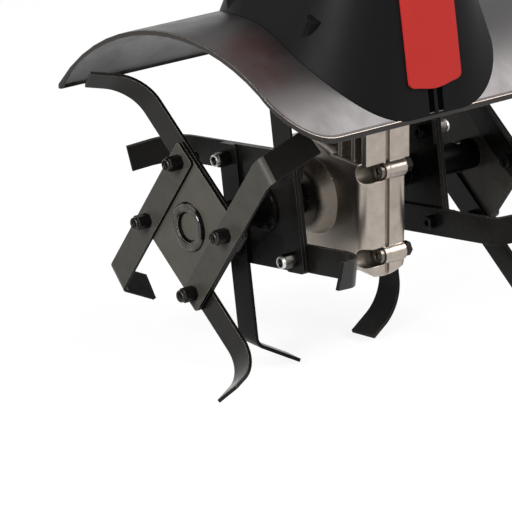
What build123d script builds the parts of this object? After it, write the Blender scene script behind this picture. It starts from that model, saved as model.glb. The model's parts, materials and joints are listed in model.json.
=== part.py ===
from build123d import *
import os
from math import acos, atan, cos, degrees, hypot, pi, radians, sin, sqrt, tan

# Electric garden tiller. Sizes are in millimetres and angles in degrees.
# Every piece is drawn from the tine axle: X forward, Y to the machine's left, Z up.
# The finished pieces are then set down so that Z is zero at the ground.

# Running and seating clearances
RUN_GAP = 0.05
SEAT_GAP = 0.05
BOLT_GAP = 0.3
FREE_GAP = 0.4

# Tine rotors
PLATE_SIDE = 117.0
PLATE_CORNER = 4.0
PLATE_THICKNESS = 4.0
BLADE_WIDTH = 27.5
BLADE_THICKNESS = 3.6
INNER_PLATE_Y = 85.0
OUTER_PLATE_Y = 172.5
PARK_ANGLE = 9.3
ROTOR_STAGGER = 45.0
BEND_STEPS = 3
TIGHT_REACH = 72.0
TIGHT_SLANT = 8.9
TIGHT_RADIUS = 9.8
TIGHT_FOLD = 61.6
TIGHT_TIP = 58.5
EASY_REACH = 52.0
EASY_SLANT = 15.9
EASY_RADIUS = 40.5
EASY_FOLD = 65.9
EASY_TIP = 70.0

# Tine fasteners
TINE_BOLT_D = 8.0
BOLT_HEAD_D = 13.0
BOLT_HEAD_H = 8.0
BOLT_KEY = 6.0
BOLT_KEY_DEPTH = 4.0
NUT_FLATS = 13.0
NUT_HEX_H = 8.5
NUT_COLLAR_D = 11.6
NUT_COLLAR_H = 3.5
THREAD_PROUD = 1.6

# Tine shaft and hubs
SHAFT_D = 25.0
HUB_D = 30.0
HUB_CAP = 4.0
HUB_GAP = 2.0
WELD_D = 47.0
WELD_H = 3.0
WELD_ROUND = 1.8
SHAFT_BEVEL = 1.5
PIN_D = 8.0
PIN_FROM_PLATE = 20.0

# Worm drive
GEAR_MODULE = 2.5
WHEEL_TEETH = 28
WORM_STARTS = 2
WORM_PITCH_R = 12.5
WHEEL_FACE = 14.0
WHEEL_HUB_D = 36.0
PRESSURE_ANGLE = 20.0
TOOTH_BACKLASH = 0.35
ROOT_CLEARANCE = 0.6
WORM_TURNS = 3
THREAD_SINK = 0.4

# Bearings and seals
SHAFT_BEARING_D = 47.0
SHAFT_BEARING_W = 12.0
SHAFT_BEARING_Y = 20.0
SEAL_W = 7.0
SEAL_Y = 34.0
WORM_JOURNAL_D = 17.0
WORM_BEARING_D = 35.0
WORM_BEARING_W = 10.0
LOWER_BEARING_Z = -64.0
UPPER_BEARING_Z = 34.0
RACE_WIDTH = 3.5
RACE_GROOVE = 1.2

# Gearbox casting
CASE_FRONT_X = 80.0
CASE_BACK_X = 16.0
CASE_HALF_WIDTH = 28.0
CASE_CORNER = 14.0
CASE_BOTTOM_Z = -68.5
CASE_BOTTOM_ROUND = 21.0
CASE_TOE_ROUND = 9.0
CASE_SHOULDER_Z = 50.0
CASE_SHOULDER_ROUND = 3.5
CASE_WALL = 6.0
CHAMBER_GAP = 2.0
BARREL_R = 62.0
BARREL_ROUND = 9.0
BOSS_FACE_Y = 44.0
BOSS_FACE_R = 32.0
BOSS_ROOT_R = 41.0
SEAM_HALF = 2.5
SEAM_DEPTH = 4.0
NECK_BACK_X = 23.0
NECK_WIDTH = 27.0
NECK_PLATE = 7.0
NECK_RIB = 5.0
NECK_RIB_PITCH = 20.0
NECK_RIB_HALF = 26.0
NECK_TOP_Z = 200.0
FLANGE_D = 92.0
FLANGE_T = 8.0
SHAFT_TUNNEL_GAP = 3.0
CASE_SCREW_D = 8.0
CASE_SCREW_HEAD_D = 13.0
CASE_SCREW_HEAD_H = 8.0
CASE_SCREW_INSET = 4.0
CASE_SEAT_Y = 5.0
CASE_BOSS_R = 9.5
CASE_BOSS_Y = 20.0
FRONT_SCREW_HIGH_Z = 40.0
FRONT_SCREW_LOW_Z = -45.0
REAR_SCREW_Z = 30.0
NECK_SCREW_Z = 140.0

# Hood over the tines
TINE_GAP = 8.9
HOOD_LIP = 9.0
HOOD_WALL = 3.0
HOOD_FRONT_ANGLE = 37.1
HOOD_CORNER_ANGLE = 41.4
HOOD_SHOULDER_ANGLE = 51.1
HOOD_SIDE_ANGLE = 64.0
HOOD_REAR_ANGLE = 145.4
HOOD_FRONT_HALF = 105.0
HOOD_CORNER_HALF = 154.2
HOOD_SHOULDER_HALF = 170.6
HOOD_SIDE_HALF = 177.2
HOOD_REAR_HALF = 218.0
NECK_GAP = 4.0

# Motor housing
HOUSING_WALL = 3.0
HOUSING_FLOOR = 4.0
HOUSING_BASE_FRONT = 156.0
HOUSING_BASE_BACK = -116.0
HOUSING_BASE_HALF = 150.0
HOUSING_BASE_CORNER = 118.0
HOUSING_TOP_FRONT = 132.0
HOUSING_TOP_BACK = -78.0
HOUSING_TOP_HALF = 84.0
HOUSING_TOP_CORNER = 66.0
HOUSING_TOP_Z = 240.0
HOUSING_BASE_Z = 96.0
RIM_RISE = 9.0
RIM_T = 2.5
RIM_GAP = 0.3
FRONT_SLOTS = 2
FRONT_SLOT_WIDTH = 7.0
FRONT_SLOT_PITCH = 10.5
FRONT_SLOT_Z = 117.0
FRONT_SLOT_H = 23.0

# Motor cover
COVER_SHOULDER_Z = 305.0
COVER_SHOULDER_IN = 8.0
COVER_TOP_Z = 352.0
COVER_TOP_IN = 34.0
COVER_TOP_ROUND = 8.0
COVER_WALL = 3.0
TONGUE_HALF = 31.0
TONGUE_BOTTOM_Z = 144.5
TONGUE_TOP_Z = 296.0
TONGUE_CORNER = 6.0
TONGUE_T = 2.6
SIDE_SLOTS = 8
SIDE_SLOT_WIDTH = 4.2
SIDE_SLOT_PITCH = 12.0
SIDE_SLOT_Z = 258.0
SIDE_SLOT_H = 34.0
CARRY_SPAN = 96.0
CARRY_RISE = 44.0
CARRY_BEND = 22.0
CARRY_BAR_D = 22.0

# Motor
MOTOR_D = 112.0
STATOR_BORE_D = 62.0
STATOR_H = 82.0
AIR_GAP = 0.6
ARMATURE_H = 78.0
ARMATURE_SLOTS = 12
ARMATURE_SLOT_WIDTH = 3.0
ARMATURE_SLOT_DEPTH = 5.0
MOTOR_SHAFT_D = 15.0
FAN_D = 64.0
FAN_H = 9.0
FAN_BLADES = 9
FAN_BLADE_T = 2.0
FAN_BLADE_LENGTH = 17.0
FAN_BLADE_LEAN = 30.0
FAN_HUB_WALL = 5.0
TOP_BEARING_D = 32.0
TOP_BEARING_W = 9.0
BRACKET_H = 11.0
BRACKET_HOLE_D = 20.0
MOTOR_BOLT_D = 6.0
MOTOR_BOLT_CIRCLE = 80.0
MOTOR_BOLTS = 4
MOTOR_POST_D = 12.0
HEX_PER_D = 1.66
HEX_H_PER_D = 0.7

# Screws of the shells
SHELL_SCREW_D = 5.0
SHELL_SCREW_LENGTH = 13.0
SHELL_SCREW_HEAD_D = 9.5
SHELL_SCREW_HEAD_H = 3.4
SHELL_BOSS_D = 14.0
HOOD_SCREW_INSET = 46.0
HOOD_SCREW_TURN = 60.0
COVER_SCREW_SPREAD = 60.0
COVER_SCREW_RISE = 5.0
COVER_SCREW_SEAT = 1.6

# Handle
TUBE_D = 25.0
TUBE_WALL = 1.5
HANDLE_RISE = 46.0
SOCKET_X = -62.0
SOCKET_Z = 190.0
SOCKET_Y = 50.0
SOCKET_WALL = 5.0
SOCKET_DEPTH = 57.0
SOCKET_BOLT_ALONG = 42.0
LOWER_LENGTH = 340.0
FOLD_FROM_END = 26.0
FOLD_BOLT_D = 8.0
FOLD_HEAD_D = 16.0
FOLD_HEAD_H = 5.0
SPACER_D = 32.0
SPACER_T = 3.0
SPACER_CUP = 6.0
UPPER_TAIL = 26.0
UPPER_STRAIGHT = 80.0
UPPER_FLARE = 190.0
FLARE_BEND_R = 90.0
UPPER_LENGTH = 480.0
GRIP_HALF_SPAN = 225.0
HANDLE_BEND_R = 50.0
GRIP_LENGTH = 100.0
GRIP_D = 33.0
GRIP_FROM_BOX = 8.0
GRIP_ROUND = 3.0
KNOB_D = 52.0
KNOB_H = 22.0
KNOB_LOBES = 5
KNOB_LOBE_R = 9.0
KNOB_ROUND = 3.0
KNOB_BORE_DEPTH = 12.0

# Switch box
BOX_HALF_Y = 56.0
BOX_ABOVE = 24.0
BOX_BELOW = 34.0
BOX_UP = 26.0
BOX_DOWN = 58.0
BOX_CORNER = 12.0
BOX_ROUND = 4.5
BOX_WALL = 3.0
LEVER_D = 10.0
LEVER_PIVOT_DOWN = 40.0
LEVER_PIVOT_BELOW = 12.0
LEVER_BAR_BELOW = 44.0
LEVER_BAR_DOWN = 4.0
LEVER_ARM_Y = 86.0
LEVER_AXLE_GAP = 17.0
LEVER_END_Y = 168.0
LEVER_BEND_R = 12.0
CAM_REACH = 12.0
CAM_T = 8.0
CAM_WIDTH = 5.0
CAM_GAP = 3.0
BLOCK_SIDE = 24.0
BUTTON_D = 15.0
BUTTON_PROUD = 7.0
BUTTON_DOWN = 30.0
BUTTON_STEM = 10.0
BUTTON_ROUND = 2.0
BUTTON_FLANGE = 3.0
INLET_D = 26.0
INLET_LENGTH = 24.0
INLET_WALL = 3.0
INLET_DOWN = 32.0

# Places worked out from the sizes above
HALF_PLATE = PLATE_SIDE / 2
BOLT_INSET = HALF_PLATE - BLADE_WIDTH / 2
STACK_HALF = PLATE_THICKNESS / 2 + BLADE_THICKNESS
SHAFT_R = SHAFT_D / 2
HUB_R = HUB_D / 2
WHEEL_PITCH_R = GEAR_MODULE * WHEEL_TEETH / 2
WORM_X = WHEEL_PITCH_R + WORM_PITCH_R
WORM_LEAD = pi * GEAR_MODULE * WORM_STARTS
WORM_LEAD_ANGLE = atan(WORM_LEAD / (2 * pi * WORM_PITCH_R))
WORM_TIP_R = WORM_PITCH_R + GEAR_MODULE
WORM_ROOT_R = WORM_PITCH_R - GEAR_MODULE - ROOT_CLEARANCE
WHEEL_TIP_R = WHEEL_PITCH_R + GEAR_MODULE
WHEEL_ROOT_R = WHEEL_PITCH_R - GEAR_MODULE - ROOT_CLEARANCE
SIDES = (("right", -1), ("left", 1))
ROTORS = (("inner", INNER_PLATE_Y, PARK_ANGLE), ("outer", OUTER_PLATE_Y, PARK_ANGLE - ROTOR_STAGGER))


def tip_radius(reach, slant, radius, fold, tip):
    """Distance from the axle to a blade tip's far corner."""
    slant, fold = radians(slant), radians(fold)
    corner = BLADE_WIDTH / 2
    along = tip * cos(slant) + corner * sin(slant)
    sideways = -tip * sin(slant) + corner * cos(slant)
    flat = (radius + BLADE_THICKNESS) * sin(fold) + (along - radius * fold) * cos(fold)
    beyond = reach + flat * cos(slant) - sideways * sin(slant)
    beside = flat * sin(slant) + sideways * cos(slant)
    return hypot(HALF_PLATE + beyond, HALF_PLATE - corner + beside)


TIP_R = max(
    tip_radius(TIGHT_REACH, TIGHT_SLANT, TIGHT_RADIUS, TIGHT_FOLD, TIGHT_TIP),
    tip_radius(EASY_REACH, EASY_SLANT, EASY_RADIUS, EASY_FOLD, EASY_TIP),
)
HOOD_R = TIP_R + TINE_GAP + HOOD_LIP
HANDLE_DIR = Vector(-cos(radians(HANDLE_RISE)), 0, sin(radians(HANDLE_RISE)))
HANDLE_UP = Vector(sin(radians(HANDLE_RISE)), 0, cos(radians(HANDLE_RISE)))
SOCKET_POINT = Vector(SOCKET_X, 0, SOCKET_Z)
FOLD_POINT = SOCKET_POINT + HANDLE_DIR * (LOWER_LENGTH - FOLD_FROM_END)
UPPER_Y = SOCKET_Y + TUBE_D + SPACER_T
BAR_POINT = FOLD_POINT + HANDLE_DIR * UPPER_LENGTH
pieces = {}


def keep(builder, name):
    """Labels a finished piece and files it under its name."""
    builder.part.label = name
    pieces[name] = builder.part


def across(y, turn=0.0):
    """Plane square to the axle at y, its X axis turned up from forward by an angle."""
    turn = radians(turn)
    return Plane(origin=(0, y, 0), x_dir=(cos(turn), 0, sin(turn)), z_dir=(0, -1, 0))


def upright(x, z, y=0.0):
    """Plane square to Y through a point of the side view."""
    return Plane(origin=(x, y, z), x_dir=(1, 0, 0), z_dir=(0, -1, 0))


def plan(x, z):
    """Level plane at height z with its origin at x."""
    return Plane(origin=(x, 0, z))


# Tine blades
def build_blade(name, side, plate_y, turn, inward):
    """One strip-steel tine: a shank bolted along a plate edge, its tip bent towards the plate's far face.
    The same two tines serve both sides: those bent to the machine's left are tight, the others easy."""
    if inward == (side < 0):
        reach, slant, radius, fold, tip = TIGHT_REACH, TIGHT_SLANT, TIGHT_RADIUS, TIGHT_FOLD, TIGHT_TIP
    else:
        reach, slant, radius, fold, tip = EASY_REACH, EASY_SLANT, EASY_RADIUS, EASY_FOLD, EASY_TIP
    slant, fold, turn = radians(slant), radians(fold), radians(turn)
    layer = 1 if inward else -1
    out = Vector(-cos(turn), 0, -sin(turn))
    edge = Vector(-sin(turn), 0, cos(turn))
    inner = Vector(0, -side * layer, 0)
    hand = 1 if inner.Y > 0 else -1
    face_y = side * (plate_y + layer * PLATE_THICKNESS / 2)
    corner = out * HALF_PLATE + edge * BOLT_INSET + Vector(0, face_y, 0)
    half = BLADE_WIDTH / 2
    shank_plane = Plane(origin=corner, x_dir=out, z_dir=inner)
    bend = corner + out * reach
    across_bend = out * cos(slant) + edge * sin(slant)
    along_bend = edge * cos(slant) - out * sin(slant)

    def bent(angle):
        """Point on the bend's inner face, with the strip's running and facing directions there."""
        point = bend + across_bend * (radius * sin(angle)) + inner * (radius * (1 - cos(angle)))
        running = across_bend * cos(angle) + inner * sin(angle)
        return point, running, inner * cos(angle) - across_bend * sin(angle)

    with BuildPart() as blade:
        with BuildSketch(shank_plane) as shank:
            Polygon(
                (-PLATE_SIDE, -half * hand),
                (-PLATE_SIDE, half * hand),
                (reach - half * tan(slant), half * hand),
                (reach + half * tan(slant), -half * hand),
                align=None,
            )
            fillet(shank.vertices().sort_by(Axis.X)[:2], PLATE_CORNER)
            with Locations((-half, 0), (half - PLATE_SIDE, 0)):
                Circle(TINE_BOLT_D / 2 + BOLT_GAP, mode=Mode.SUBTRACT)
        extrude(amount=-BLADE_THICKNESS)
        for step in range(BEND_STEPS + 1):
            angle = fold * step / BEND_STEPS
            point, running, facing = bent(angle)
            middle = point - along_bend * (radius * angle * tan(slant)) - facing * (BLADE_THICKNESS / 2)
            with BuildSketch(Plane(origin=middle, x_dir=along_bend, z_dir=running)):
                Rectangle(BLADE_WIDTH / cos(slant), BLADE_THICKNESS)
        loft()
        point, running, facing = bent(fold)
        start = -radius * fold * tan(slant)
        end = tip * cos(slant) - radius * fold
        drift = tip * sin(slant)
        with BuildSketch(Plane(origin=point, x_dir=running, z_dir=facing)):
            Polygon(
                (0, (start - half / cos(slant)) * hand),
                (0, (start + half / cos(slant)) * hand),
                (end + half * sin(slant), (half * cos(slant) - drift) * hand),
                (end - half * sin(slant), (-half * cos(slant) - drift) * hand),
                align=None,
            )
        extrude(amount=-BLADE_THICKNESS)
    keep(blade, name)


for side_name, side in SIDES:
    for rotor_name, plate_y, turn in ROTORS:
        for count, quarter in enumerate((90, 270), start=1):
            blade_name = f"{side_name}_{rotor_name}_inward_blade_{count}"
            build_blade(blade_name, side, plate_y, turn + quarter, True)
        for count, quarter in enumerate((0, 180), start=1):
            blade_name = f"{side_name}_{rotor_name}_outward_blade_{count}"
            build_blade(blade_name, side, plate_y, turn + quarter, False)

# Rotor plates with their welded hubs
for side_name, side in SIDES:
    for rotor_name, plate_y, turn in ROTORS:
        outer = rotor_name == "outer"
        face_y = plate_y + PLATE_THICKNESS / 2
        hub_start = INNER_PLATE_Y + PLATE_THICKNESS / 2 + WELD_H if outer else BOSS_FACE_Y + HUB_GAP
        with BuildPart() as plate:
            with BuildSketch(across(side * face_y, turn)):
                RectangleRounded(PLATE_SIDE, PLATE_SIDE, PLATE_CORNER)
                with GridLocations(2 * BOLT_INSET, 2 * BOLT_INSET, 2, 2):
                    Circle(TINE_BOLT_D / 2 + BOLT_GAP, mode=Mode.SUBTRACT)
            extrude(amount=side * PLATE_THICKNESS)
            with BuildSketch(across(side * hub_start)):
                Circle(HUB_R)
            extrude(amount=-side * (face_y - hub_start))
            with BuildSketch(across(side * face_y)):
                Circle(WELD_D / 2)
            extrude(amount=-side * WELD_H)
            weld_edge = plate.edges().filter_by(GeomType.CIRCLE).sort_by(Axis.Y)[0 if side < 0 else -1]
            fillet(weld_edge, WELD_ROUND)
            if outer:
                with BuildSketch(across(side * (face_y + WELD_H))):
                    Circle(HUB_R)
                extrude(amount=side * WELD_H, mode=Mode.SUBTRACT)
            with BuildSketch(across(side * (face_y - HUB_CAP if outer else face_y + WELD_H))):
                Circle(SHAFT_R + SEAT_GAP)
            extrude(amount=side * PLATE_SIDE, mode=Mode.SUBTRACT)
            with BuildSketch(Plane.XY.offset(-PLATE_SIDE)):
                with Locations((0, side * (plate_y - PIN_FROM_PLATE))):
                    Circle(PIN_D / 2 + SEAT_GAP)
            extrude(amount=2 * PLATE_SIDE, mode=Mode.SUBTRACT)
        keep(plate, f"{side_name}_{rotor_name}_plate")

# Tine bolts and lock nuts
bolt_spots = [
    (side * plate_y, side, turn, corner_x, corner_z)
    for _, side in SIDES
    for _, plate_y, turn in ROTORS
    for corner_x in (-BOLT_INSET, BOLT_INSET)
    for corner_z in (-BOLT_INSET, BOLT_INSET)
]
with BuildPart() as tine_bolts:
    for plate_y, side, turn, corner_x, corner_z in bolt_spots:
        seat = plate_y - side * STACK_HALF
        grip = 2 * STACK_HALF + NUT_HEX_H + NUT_COLLAR_H + THREAD_PROUD
        with BuildSketch(across(seat, turn)):
            with Locations((corner_x, corner_z)):
                Circle(TINE_BOLT_D / 2)
        extrude(amount=-side * grip)
        with BuildSketch(across(seat, turn)):
            with Locations((corner_x, corner_z)):
                Circle(BOLT_HEAD_D / 2)
        extrude(amount=side * BOLT_HEAD_H)
        with BuildSketch(across(seat - side * BOLT_HEAD_H, turn)):
            with Locations((corner_x, corner_z)):
                RegularPolygon(BOLT_KEY / 2, 6, major_radius=False)
        extrude(amount=-side * BOLT_KEY_DEPTH, mode=Mode.SUBTRACT)
keep(tine_bolts, "tine_bolts")

for rotor_name, rotor_y, rotor_turn in ROTORS:
    with BuildPart() as tine_nuts:
        for plate_y, side, turn, corner_x, corner_z in bolt_spots:
            if abs(plate_y) != rotor_y:
                continue
            seat = plate_y + side * STACK_HALF
            with BuildSketch(across(seat, turn)):
                with Locations((corner_x, corner_z)):
                    RegularPolygon(NUT_FLATS / 2, 6, major_radius=False)
                    Circle(TINE_BOLT_D / 2 + SEAT_GAP, mode=Mode.SUBTRACT)
            extrude(amount=-side * NUT_HEX_H)
            with BuildSketch(across(seat + side * NUT_HEX_H, turn)):
                with Locations((corner_x, corner_z)):
                    Circle(NUT_COLLAR_D / 2)
                    Circle(TINE_BOLT_D / 2 + SEAT_GAP, mode=Mode.SUBTRACT)
            extrude(amount=-side * NUT_COLLAR_H)
    keep(tine_nuts, f"{rotor_name}_tine_nuts")

# Tine shaft and the pins that lock the hubs on it
SHAFT_END_Y = OUTER_PLATE_Y + PLATE_THICKNESS / 2 - HUB_CAP - FREE_GAP
pin_ys = [side * (plate_y - PIN_FROM_PLATE) for _, side in SIDES for _, plate_y, _ in ROTORS]
with BuildPart() as tine_shaft:
    with BuildSketch(across(SHAFT_END_Y)):
        Circle(SHAFT_R)
    extrude(amount=2 * SHAFT_END_Y)
    chamfer(tine_shaft.edges().filter_by(GeomType.CIRCLE), SHAFT_BEVEL)
    with BuildSketch(Plane.XY.offset(-SHAFT_D)):
        with Locations(*[(0, y) for y in pin_ys]):
            Circle(PIN_D / 2 + SEAT_GAP)
    extrude(amount=2 * SHAFT_D, mode=Mode.SUBTRACT)
keep(tine_shaft, "tine_shaft")

with BuildPart() as hub_pins:
    with BuildSketch(Plane.XY.offset(-HUB_R)):
        with Locations(*[(0, y) for y in pin_ys]):
            Circle(PIN_D / 2)
    extrude(amount=HUB_D)
keep(hub_pins, "hub_pins")


# Worm wheel, its teeth slanted to the worm's lead
def involute(angle):
    """Involute of a pressure angle in radians."""
    return tan(angle) - angle


def wheel_outline():
    """Points round the worm wheel, with a tooth gap on the X axis."""
    pressure = radians(PRESSURE_ANGLE)
    base_r = WHEEL_PITCH_R * cos(pressure)
    half_pitch = (pi * GEAR_MODULE / 4 - TOOTH_BACKLASH / 2) / WHEEL_PITCH_R
    points = []
    for tooth in range(WHEEL_TEETH):
        middle = 2 * pi * (tooth + 0.5) / WHEEL_TEETH
        flank = []
        for r in (WHEEL_ROOT_R, WHEEL_PITCH_R, WHEEL_TIP_R):
            local = acos(min(1.0, base_r / r))
            flank.append((r, half_pitch + involute(pressure) - involute(local)))
        for r, half in flank:
            points.append((r * cos(middle - half), r * sin(middle - half)))
        for r, half in reversed(flank):
            points.append((r * cos(middle + half), r * sin(middle + half)))
    return points


WHEEL_HUB_HALF = SHAFT_BEARING_Y - FREE_GAP
with BuildPart() as worm_wheel:
    for y in (-WHEEL_FACE / 2, WHEEL_FACE / 2):
        slew = degrees(y * tan(WORM_LEAD_ANGLE) / WHEEL_PITCH_R)
        with BuildSketch(across(y, -slew)):
            with BuildLine():
                Polyline(*wheel_outline(), close=True)
            make_face()
    loft(ruled=True)
    with BuildSketch(across(WHEEL_HUB_HALF)):
        Circle(WHEEL_HUB_D / 2)
    extrude(amount=2 * WHEEL_HUB_HALF)
    with BuildSketch(across(WHEEL_HUB_HALF)):
        Circle(SHAFT_R + SEAT_GAP)
    extrude(amount=2 * WHEEL_HUB_HALF, mode=Mode.SUBTRACT)
keep(worm_wheel, "worm_wheel")

# Worm shaft, turned from one bar with the motor shaft
FLOOR_Z = NECK_TOP_Z + FLANGE_T
FAN_Z = FLOOR_Z + HOUSING_FLOOR + FREE_GAP
STATOR_Z = FAN_Z + FAN_H + FREE_GAP
BRACKET_Z = STATOR_Z + STATOR_H
BRACKET_TOP_Z = BRACKET_Z + BRACKET_H
TOP_BEARING_Z = BRACKET_TOP_Z - TOP_BEARING_W
WORM_LENGTH = WORM_TURNS * WORM_LEAD
WORM_BOTTOM_Z = LOWER_BEARING_Z + WORM_BEARING_W + FREE_GAP
WORM_TOP_Z = UPPER_BEARING_Z - FREE_GAP
SHAFT_BOTTOM_Z = LOWER_BEARING_Z + FREE_GAP
JOURNAL_TOP_Z = UPPER_BEARING_Z + WORM_BEARING_W
JOURNAL_R = WORM_JOURNAL_D / 2
MOTOR_SHAFT_R = MOTOR_SHAFT_D / 2
with BuildPart() as worm_shaft:
    with BuildSketch(plan(WORM_X, SHAFT_BOTTOM_Z)):
        Circle(JOURNAL_R)
    extrude(amount=JOURNAL_TOP_Z - SHAFT_BOTTOM_Z)
    with BuildSketch(plan(WORM_X, WORM_BOTTOM_Z)):
        Circle(WORM_ROOT_R)
    extrude(amount=WORM_TOP_Z - WORM_BOTTOM_Z)
    with BuildSketch(plan(WORM_X, JOURNAL_TOP_Z)):
        Circle(MOTOR_SHAFT_R)
    extrude(amount=BRACKET_TOP_Z - JOURNAL_TOP_Z)
    pressure_slope = tan(radians(PRESSURE_ANGLE))
    pitch_half = pi * GEAR_MODULE / 4 - TOOTH_BACKLASH / 2
    for start in range(WORM_STARTS):
        with BuildLine() as thread_path:
            Helix(
                pitch=WORM_LEAD,
                height=WORM_LENGTH,
                radius=WORM_PITCH_R,
                center=(WORM_X, 0, -WORM_LENGTH / 2),
            )
        spin = 360 * start / WORM_STARTS
        path = thread_path.line.rotate(Axis((WORM_X, 0, 0), (0, 0, 1)), spin)
        outward = (path @ 0 - Vector(WORM_X, 0, (path @ 0).Z)).normalized()
        with BuildSketch(Plane(origin=path @ 0, x_dir=outward, z_dir=path % 0)):
            low = WORM_ROOT_R - THREAD_SINK - WORM_PITCH_R
            high = GEAR_MODULE
            narrow = cos(WORM_LEAD_ANGLE)
            low_half = (pitch_half - low * pressure_slope) * narrow
            high_half = (pitch_half - high * pressure_slope) * narrow
            Polygon((low, -low_half), (low, low_half), (high, high_half), (high, -high_half), align=None)
        sweep(path=path, is_frenet=True)
keep(worm_shaft, "worm_shaft")


# Ball bearings, each drawn as its two races with a shield sunk between them
def build_bearings(name, planes, bore_r, outer_r, width):
    """One or more alike bearings, each from its plane along the plane's normal."""
    with BuildPart() as bearings:
        for plane in planes:
            with BuildSketch(plane):
                Circle(outer_r - SEAT_GAP)
                Circle(bore_r + RUN_GAP, mode=Mode.SUBTRACT)
            extrude(amount=width)
            for level, way in ((0, 1), (width, -1)):
                with BuildSketch(plane.offset(level)):
                    Circle(outer_r - RACE_WIDTH)
                    Circle(bore_r + RACE_WIDTH, mode=Mode.SUBTRACT)
                extrude(amount=way * RACE_GROOVE, mode=Mode.SUBTRACT)
    keep(bearings, name)


shaft_bearing_planes = [across(-SHAFT_BEARING_Y), across(SHAFT_BEARING_Y + SHAFT_BEARING_W)]
build_bearings("shaft_bearings", shaft_bearing_planes, SHAFT_R, SHAFT_BEARING_D / 2, SHAFT_BEARING_W)
lower_bearing_planes = [plan(WORM_X, LOWER_BEARING_Z)]
build_bearings("worm_lower_bearing", lower_bearing_planes, JOURNAL_R, WORM_BEARING_D / 2, WORM_BEARING_W)
upper_bearing_planes = [plan(WORM_X, UPPER_BEARING_Z)]
build_bearings("worm_upper_bearing", upper_bearing_planes, JOURNAL_R, WORM_BEARING_D / 2, WORM_BEARING_W)
top_bearing_planes = [plan(WORM_X, TOP_BEARING_Z)]
build_bearings("motor_top_bearing", top_bearing_planes, MOTOR_SHAFT_R, TOP_BEARING_D / 2, TOP_BEARING_W)

with BuildPart() as shaft_seals:
    for _, side in SIDES:
        with BuildSketch(across(side * SEAL_Y)):
            Circle(SHAFT_BEARING_D / 2 - SEAT_GAP)
            Circle(SHAFT_R + RUN_GAP, mode=Mode.SUBTRACT)
        extrude(amount=-side * SEAL_W)
keep(shaft_seals, "shaft_seals")

# Gearbox casting, drawn whole and then parted along the middle
CASE_LENGTH = CASE_FRONT_X - CASE_BACK_X
CASE_MIDDLE_X = (CASE_FRONT_X + CASE_BACK_X) / 2
CHAMBER_R = WHEEL_TIP_R + CHAMBER_GAP
CHAMBER_HALF = WHEEL_FACE / 2 + CHAMBER_GAP
POCKET_R = BARREL_R - CASE_WALL
POCKET_HALF = CASE_HALF_WIDTH - CASE_WALL
POCKET_INNER_R = SHAFT_BEARING_D / 2 + CASE_WALL
NECK_FOOT_Z = CASE_SHOULDER_Z - CASE_CORNER
NECK_HEIGHT = NECK_TOP_Z - NECK_FOOT_Z
PLATE_BACK_X = CASE_FRONT_X - NECK_PLATE
TUNNEL_R = MOTOR_SHAFT_R + SHAFT_TUNNEL_GAP
front_screw_x = CASE_FRONT_X - CASE_SCREW_INSET
rear_screw_r = BARREL_R - CASE_WALL / 2 + CASE_BOSS_R
rear_screw_x = -sqrt(rear_screw_r**2 - REAR_SCREW_Z**2)
case_screws = [
    (front_screw_x, FRONT_SCREW_HIGH_Z),
    (front_screw_x, FRONT_SCREW_LOW_Z),
    (rear_screw_x, REAR_SCREW_Z),
    (rear_screw_x, -REAR_SCREW_Z),
    (front_screw_x, NECK_SCREW_Z),
    (NECK_BACK_X, NECK_SCREW_Z),
]
round_middle_z = CASE_BOTTOM_Z + NECK_TOP_Z / 2
with BuildPart() as worm_case:
    with BuildSketch(plan(CASE_MIDDLE_X, CASE_BOTTOM_Z)):
        RectangleRounded(CASE_LENGTH, 2 * CASE_HALF_WIDTH, CASE_CORNER)
    extrude(amount=CASE_SHOULDER_Z - CASE_BOTTOM_Z)
    fillet(worm_case.faces().sort_by(Axis.Z)[-1].edges(), CASE_SHOULDER_ROUND)
    with BuildSketch(Plane.YZ):
        with Locations((0, round_middle_z)):
            RectangleRounded(2 * CASE_HALF_WIDTH, NECK_TOP_Z, CASE_BOTTOM_ROUND)
    extrude(amount=CASE_FRONT_X, mode=Mode.INTERSECT)
    with BuildSketch(across(CASE_HALF_WIDTH)):
        with Locations((CASE_MIDDLE_X, round_middle_z)):
            RectangleRounded(CASE_LENGTH, NECK_TOP_Z, CASE_TOE_ROUND)
    extrude(amount=2 * CASE_HALF_WIDTH, mode=Mode.INTERSECT)

with BuildPart() as wheel_case:
    with BuildSketch(across(CASE_HALF_WIDTH)):
        Circle(BARREL_R)
    extrude(amount=2 * CASE_HALF_WIDTH)
    fillet(wheel_case.edges().filter_by(GeomType.CIRCLE), BARREL_ROUND)

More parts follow.
